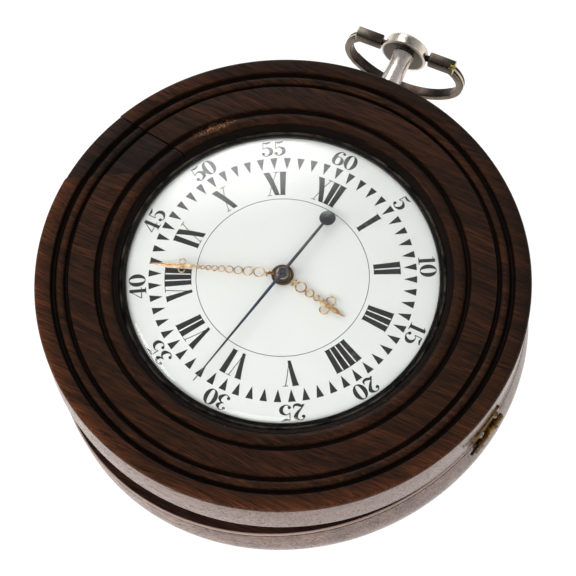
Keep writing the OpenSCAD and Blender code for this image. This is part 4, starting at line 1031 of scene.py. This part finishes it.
def tarnished(name, turned_by, bright, grey, copper, rough, handled=0.5, rubbed=False,
              hollow=None, metallic=1.0):
    """Old silver: pale where handled, grey and a little coppery elsewhere, black in the pits.
    A mesh with the value "rubbed" is pale on its raised edges; painted shade darkens the head's hollow by the
    stem."""
    metal = Finish(name, Metallic=metallic)
    where = metal.place(turned_by)
    worn = metal.noise(where, 0.16, 3.0, 0.55)
    warm = metal.noise(metal.stretched(where, (1, 1, 1), (30, 0, 0)), 0.16, 3.0, 0.5)
    pits = metal.noise(where, 1.5, 3.0, 0.65).between(0.60, 0.74)
    dull = worn.between(handled - 0.12, handled + 0.12)
    if rubbed:
        raised = metal.node("ShaderNodeAttribute", {"attribute_name": "rubbed"}, out=2)
        dull = (1 - raised) * (0.93 + dull * 0.07)
    colour = metal.layers(metal.mix(dull, paint(*bright), paint(*grey)),
                          (warm.between(0.52, 0.68) * 0.45, paint(*copper)),
                          (pits * 0.5, paint(46, 40, 38)))
    if hollow:
        # Painted shade under the head, by the stem
        round_stem = metal.length(metal.stretched(where, (1, 0, 1), (stem_aside, 0, -pendant_z)))
        shade_in_hollows = metal.part(where, 1).between(hollow[1], hollow[0]) * round_stem.between(7.5, 6.8)
        colour = metal.mix(shade_in_hollows * 0.9, colour, paint(24, 20, 18))
    return metal.wear(Base_Color=colour, Roughness=rough + worn * 0.1 + pits * 0.15,
                      Normal=metal.bump(worn * 0.3 - pits, 0.04))


stem_silver = tarnished("rubbed_silver", opened, (236, 228, 220), (208, 196, 188), (190, 170, 156),
                        0.2, 0.6, metallic=0.85)
bow_silver = tarnished("tarnished_silver", opened, (226, 216, 194), (48, 41, 38), (62, 46, 39),
                       0.2, rubbed=True)
head_silver = tarnished("head_silver", opened, (228, 220, 206), (112, 103, 96), (134, 108, 88), 0.16, 0.62,
                        hollow=(stem_end + 0.1, stem_end + 0.6))
stem = turned("stem", [(0, stem_start), (stem_r, stem_start), (stem_r, case_r + 3)] + lifted(
    stem_end, (stem_r - 0.2, -12), (stem_r - 0.45, -6), (stem_r - 0.5, -3.5), (stem_r - 0.2, -1),
    (stem_r + 0.1, 0), (0, 0)), 96, closed=False, ease=0.2)
stem.data.transform(pendant_place)
settle(stem, "front", stem_silver, opened, nodes=["pendant_stem"], slot="tarnished_silver")

head = turned("pendant_head_cast", lifted(
    stem_end, (0, 0), (head_r - 0.15, 0), (head_r, 0.2), (head_r, 0.55), (head_r - 0.45, 0.8),
    (head_r - 0.45, head_t - 1.0), *curve(head_r - 1.45, head_t - 1.0, 1.0, 0.9, 0, 90, 5),
    (head_r - 2.4, head_t + 0.15), (3, head_t + 0.5), (0, head_t + 0.58)), 96, closed=False, ease=0.15)
head.data.transform(pendant_place)
settle(head, "front", head_silver, opened, nodes=["pendant_head"], slot="tarnished_silver")

bow_t, bow_w = 2.4, 3.6
lug_len, lug_h, lug_gap = 9.2, 4.0, 0.5
# The side arcs of the bow, and the wide arc, which meets them smoothly
side_r, side_x, side_z, side_end = 9.0, 11.2, -8.6, 62
wide_r, wide_z, meeting = 24.467, 2.067, 43.6


def bow_path(steps=40):
    """Middle line of the oval bow: two tight side arcs and a wide one below, as angle, centre and radius."""
    arcs = [(180 - side_end, 180 + meeting, -side_x, side_z, side_r),
            (180 + meeting, 360 - meeting, 0, wide_z, wide_r),
            (360 - meeting, 360 + side_end, side_x, side_z, side_r)]
    for start, end, x, z, r in arcs:
        for i in range(steps + (end == 360 + side_end)):
            yield math.radians(start + (end - start) * i / steps), x, z, r


def bow_section(r):
    """The band across: reeded outside, plain inside, a trifle slimmer at the tight arcs."""
    slim = 0.06 if r < wide_r else 0.0
    t, w = bow_t / 2 - slim, bow_w / 2 - slim
    half = [(0.3 - t, -w), (t - 0.5, -w), (t - 0.08, 0.45 - w), (t - 0.45, 1.0 - w), (t - 0.04, 1.4 - w)]
    return eased([(-t, 0.3 - w)] + half + [(a, -b) for a, b in half[::-1]] + [(-t, w - 0.3)], 0.14, 2)


band_shape = bmesh.new()
rubbed = band_shape.verts.layers.float.new("rubbed")
slices = []
for angle_here, x, z, r in bow_path():
    slices.append([])
    for a, b in bow_section(r):
        out = r + a
        corner = band_shape.verts.new((x + out * math.cos(angle_here), b, z + out * math.sin(angle_here)))
        corner[rubbed] = 0.8 if a > bow_t / 2 - 0.2 else 0.2 if abs(b) > bow_w / 2 - 0.2 else 0.0
        slices[-1].append(corner)
loft(band_shape, slices, capped=True)
bow_parts = [piece_of(band_shape, "band")]


def rounded_bar(name, x0, x1, wide, high, ease):
    """A filed square bar along X, its edges rounded."""
    shape = bmesh.new()
    bmesh.ops.create_cube(shape, size=1)
    for v in shape.verts:
        v.co = Vector(((x0 + x1) / 2 + v.co.x * abs(x1 - x0), v.co.y * wide, v.co.z * high))
    bmesh.ops.bevel(shape, geom=shape.edges[:], offset=ease, segments=3, affect="EDGES", profile=0.5)
    rubbed = shape.verts.layers.float.new("rubbed")
    for v in shape.verts:
        v[rubbed] = 0.85 if abs(v.co.x - x1) < ease * 0.9 else 0.04
    return piece_of(shape, name)


for s in (-1, 1):
    lug_in = s * (head_r + lug_gap)
    bow_parts.append(rounded_bar("lug", lug_in, lug_in + s * lug_len, bow_w, lug_h, 0.45))
    pivot = turned("pivot", [(0, 0), (1.1, 0), (1.1, 4.1), (0, 4.1)], 32, closed=False, ease=0.1)
    outward = Matrix.Rotation(math.radians(s * 90), 4, "Y")
    pivot.data.transform(Matrix.Translation((s * (head_r - 2.7), 0, 0)) @ outward)
    bow_parts.append(pivot)
bow = joined("bow_cast", bow_parts)
stem_way = opened.to_3x3() @ pendant_turn.to_3x3() @ Vector((0, 1, 0))
hang = -math.atan2(stem_way.z, (opened.to_3x3() @ Vector((0, 0, 1))).z)
bow_place = pendant_turn @ Matrix.Translation((0, bow_axis_r, pendant_z)) @ Matrix.Rotation(hang, 4, "X")
bow.data.transform(bow_place)
settle(bow, "bow", bow_silver, opened, nodes=["bow"], slot="tarnished_silver")

# A lump of yellow solder sits on the end of the right lug, from an old mend
solder_shape = bmesh.new()
bmesh.ops.create_icosphere(solder_shape, subdivisions=3, radius=1.0)
for v in solder_shape.verts:
    lump = 1 + 0.16 * math.sin(5 * v.co.x + 2) * math.cos(4 * v.co.y) + 0.1 * math.sin(7 * v.co.z)
    v.co = Vector((v.co.x * 1.15 * lump, v.co.y * 1.0 * lump, v.co.z * 0.8 * lump))
solder = piece_of(solder_shape, "solder_mend")
solder.data.transform(bow_place @ Matrix.Translation((head_r + lug_gap + lug_len - 0.9, -0.9, 1.5)))
solder_yellow = old_metal("yellow_solder", (226, 204, 96), (150, 124, 52), 0.26, opened, 1.2)
settle(solder, "bow", solder_yellow, opened, slot="tarnished_silver")


# The movement between the dial and the silver back: gilt plates on turned pillars, brass
# wheels, steel pinions and a blued balance spring. None of it shows from outside.
refinish(["pillar_plate", "pillars", "top_plate", "balance_cock"],
         old_metal("fire_gilt", (226, 176, 88), (196, 144, 66), 0.34, opened, 0.08, spots=0.2))
refinish(["hour_wheel", "minute_wheel", "centre_wheel", "third_wheel", "seconds_arbor", "escape_wheel",
          "mainspring_barrel", "balance_wheel"],
         old_metal("wheel_brass", (220, 180, 100), (188, 142, 70), 0.24, opened, 0.3, spots=0.15))
refinish(["cannon_pinion", "barrel_arbor", "ratchet_wheel", "ratchet_click", "top_plate_pins", "mainspring"],
         old_metal("movement_steel", (196, 196, 194), (136, 134, 130), 0.22, opened, 0.3, spots=0.2))
refinish(["balance_spring", "cock_screw"], blue_steel)
refinish(["dial_feet"], old_metal("copper_feet", (196, 120, 82), (140, 80, 54), 0.3, opened))


# The floor is a white sheet, white wherever it is seen or mirrored, which keeps the clock's
# shadow. The sky is soft grey, brighter round the horizon.
floor_shape = bmesh.new()
bmesh.ops.create_grid(floor_shape, x_segments=1, y_segments=1, size=3.0)
floor = piece_of(floor_shape, "floor")
sheet = Finish("white_sheet", Roughness=0.9, Specular_IOR_Level=0.0, Emission_Strength=1.0)
straight = sheet.node("ShaderNodeLightPath", out=0)
mirrored = sheet.node("ShaderNodeLightPath", out=3) + sheet.node("ShaderNodeLightPath", out=6)
mirrored = mirrored.math("MINIMUM", 1.0)
seen = (straight + mirrored).math("MINIMUM", 1.0)
warm_white = sheet.mix(straight, (0.98, 0.91, 0.87, 1), (0.97, 0.97, 0.97, 1))
sheet.wear(Base_Color=sheet.mix(seen, (0.78, 0.78, 0.78, 1), (0.12, 0.12, 0.12, 1)),
           Emission_Color=sheet.mix(seen, (0, 0, 0, 1), warm_white))
floor.data.materials.append(sheet.material)

world = bpy.data.worlds.new("studio")
world.use_nodes = True
bpy.context.scene.world = world
# The sky's nodes are made by the same methods as a finish's
sky = Finish.__new__(Finish)
sky.tree = world.node_tree
direction = sky.node("ShaderNodeTexCoord", out=0)
shade = sky.ramp(sky.part(direction, 2), (0.0, (0.7, 0.7, 0.7, 1)), (0.25, (0.46, 0.46, 0.46, 1)),
                 (0.6, (0.36, 0.36, 0.36, 1)), (1.0, (0.32, 0.32, 0.32, 1)))
# A bright window stands beyond XI; the glass mirrors it
window_turn, window_up = math.radians(125), math.radians(37)
window_way = opened.to_3x3() @ Vector((math.cos(window_turn) * math.cos(window_up),
                                       math.sin(window_turn) * math.cos(window_up), math.sin(window_up)))
toward = sky.node("ShaderNodeVectorMath", {"operation": "DOT_PRODUCT"}, {0: direction, 1: window_way}, out=1)
glare = toward.between(math.cos(math.radians(22)), math.cos(math.radians(4)))
shade = sky.mix(glare, shade, (4.0, 4.0, 4.0, 1))
world.node_tree.links.new(shade.link, world.node_tree.nodes["Background"].inputs["Color"])


def softbox(name, place, size, watts):
    """A round soft lamp that shines at the clock; glass and metal mirror only the sky and floor."""
    lamp = bpy.data.lights.new(name, "AREA")
    lamp.shape, lamp.size, lamp.energy = "DISK", size, watts
    box = bpy.data.objects.new(name, lamp)
    box.location = place
    box.rotation_euler = (Vector((0, 0, 0.03)) - Vector(place)).to_track_quat("-Z", "Y").to_euler()
    box.visible_glossy = False
    bpy.context.scene.collection.objects.link(box)


softbox("side", (-0.8, -0.7, 0.75), 0.7, 8.5)
softbox("fill", (0.3, -0.9, 0.6), 0.8, 5.5)
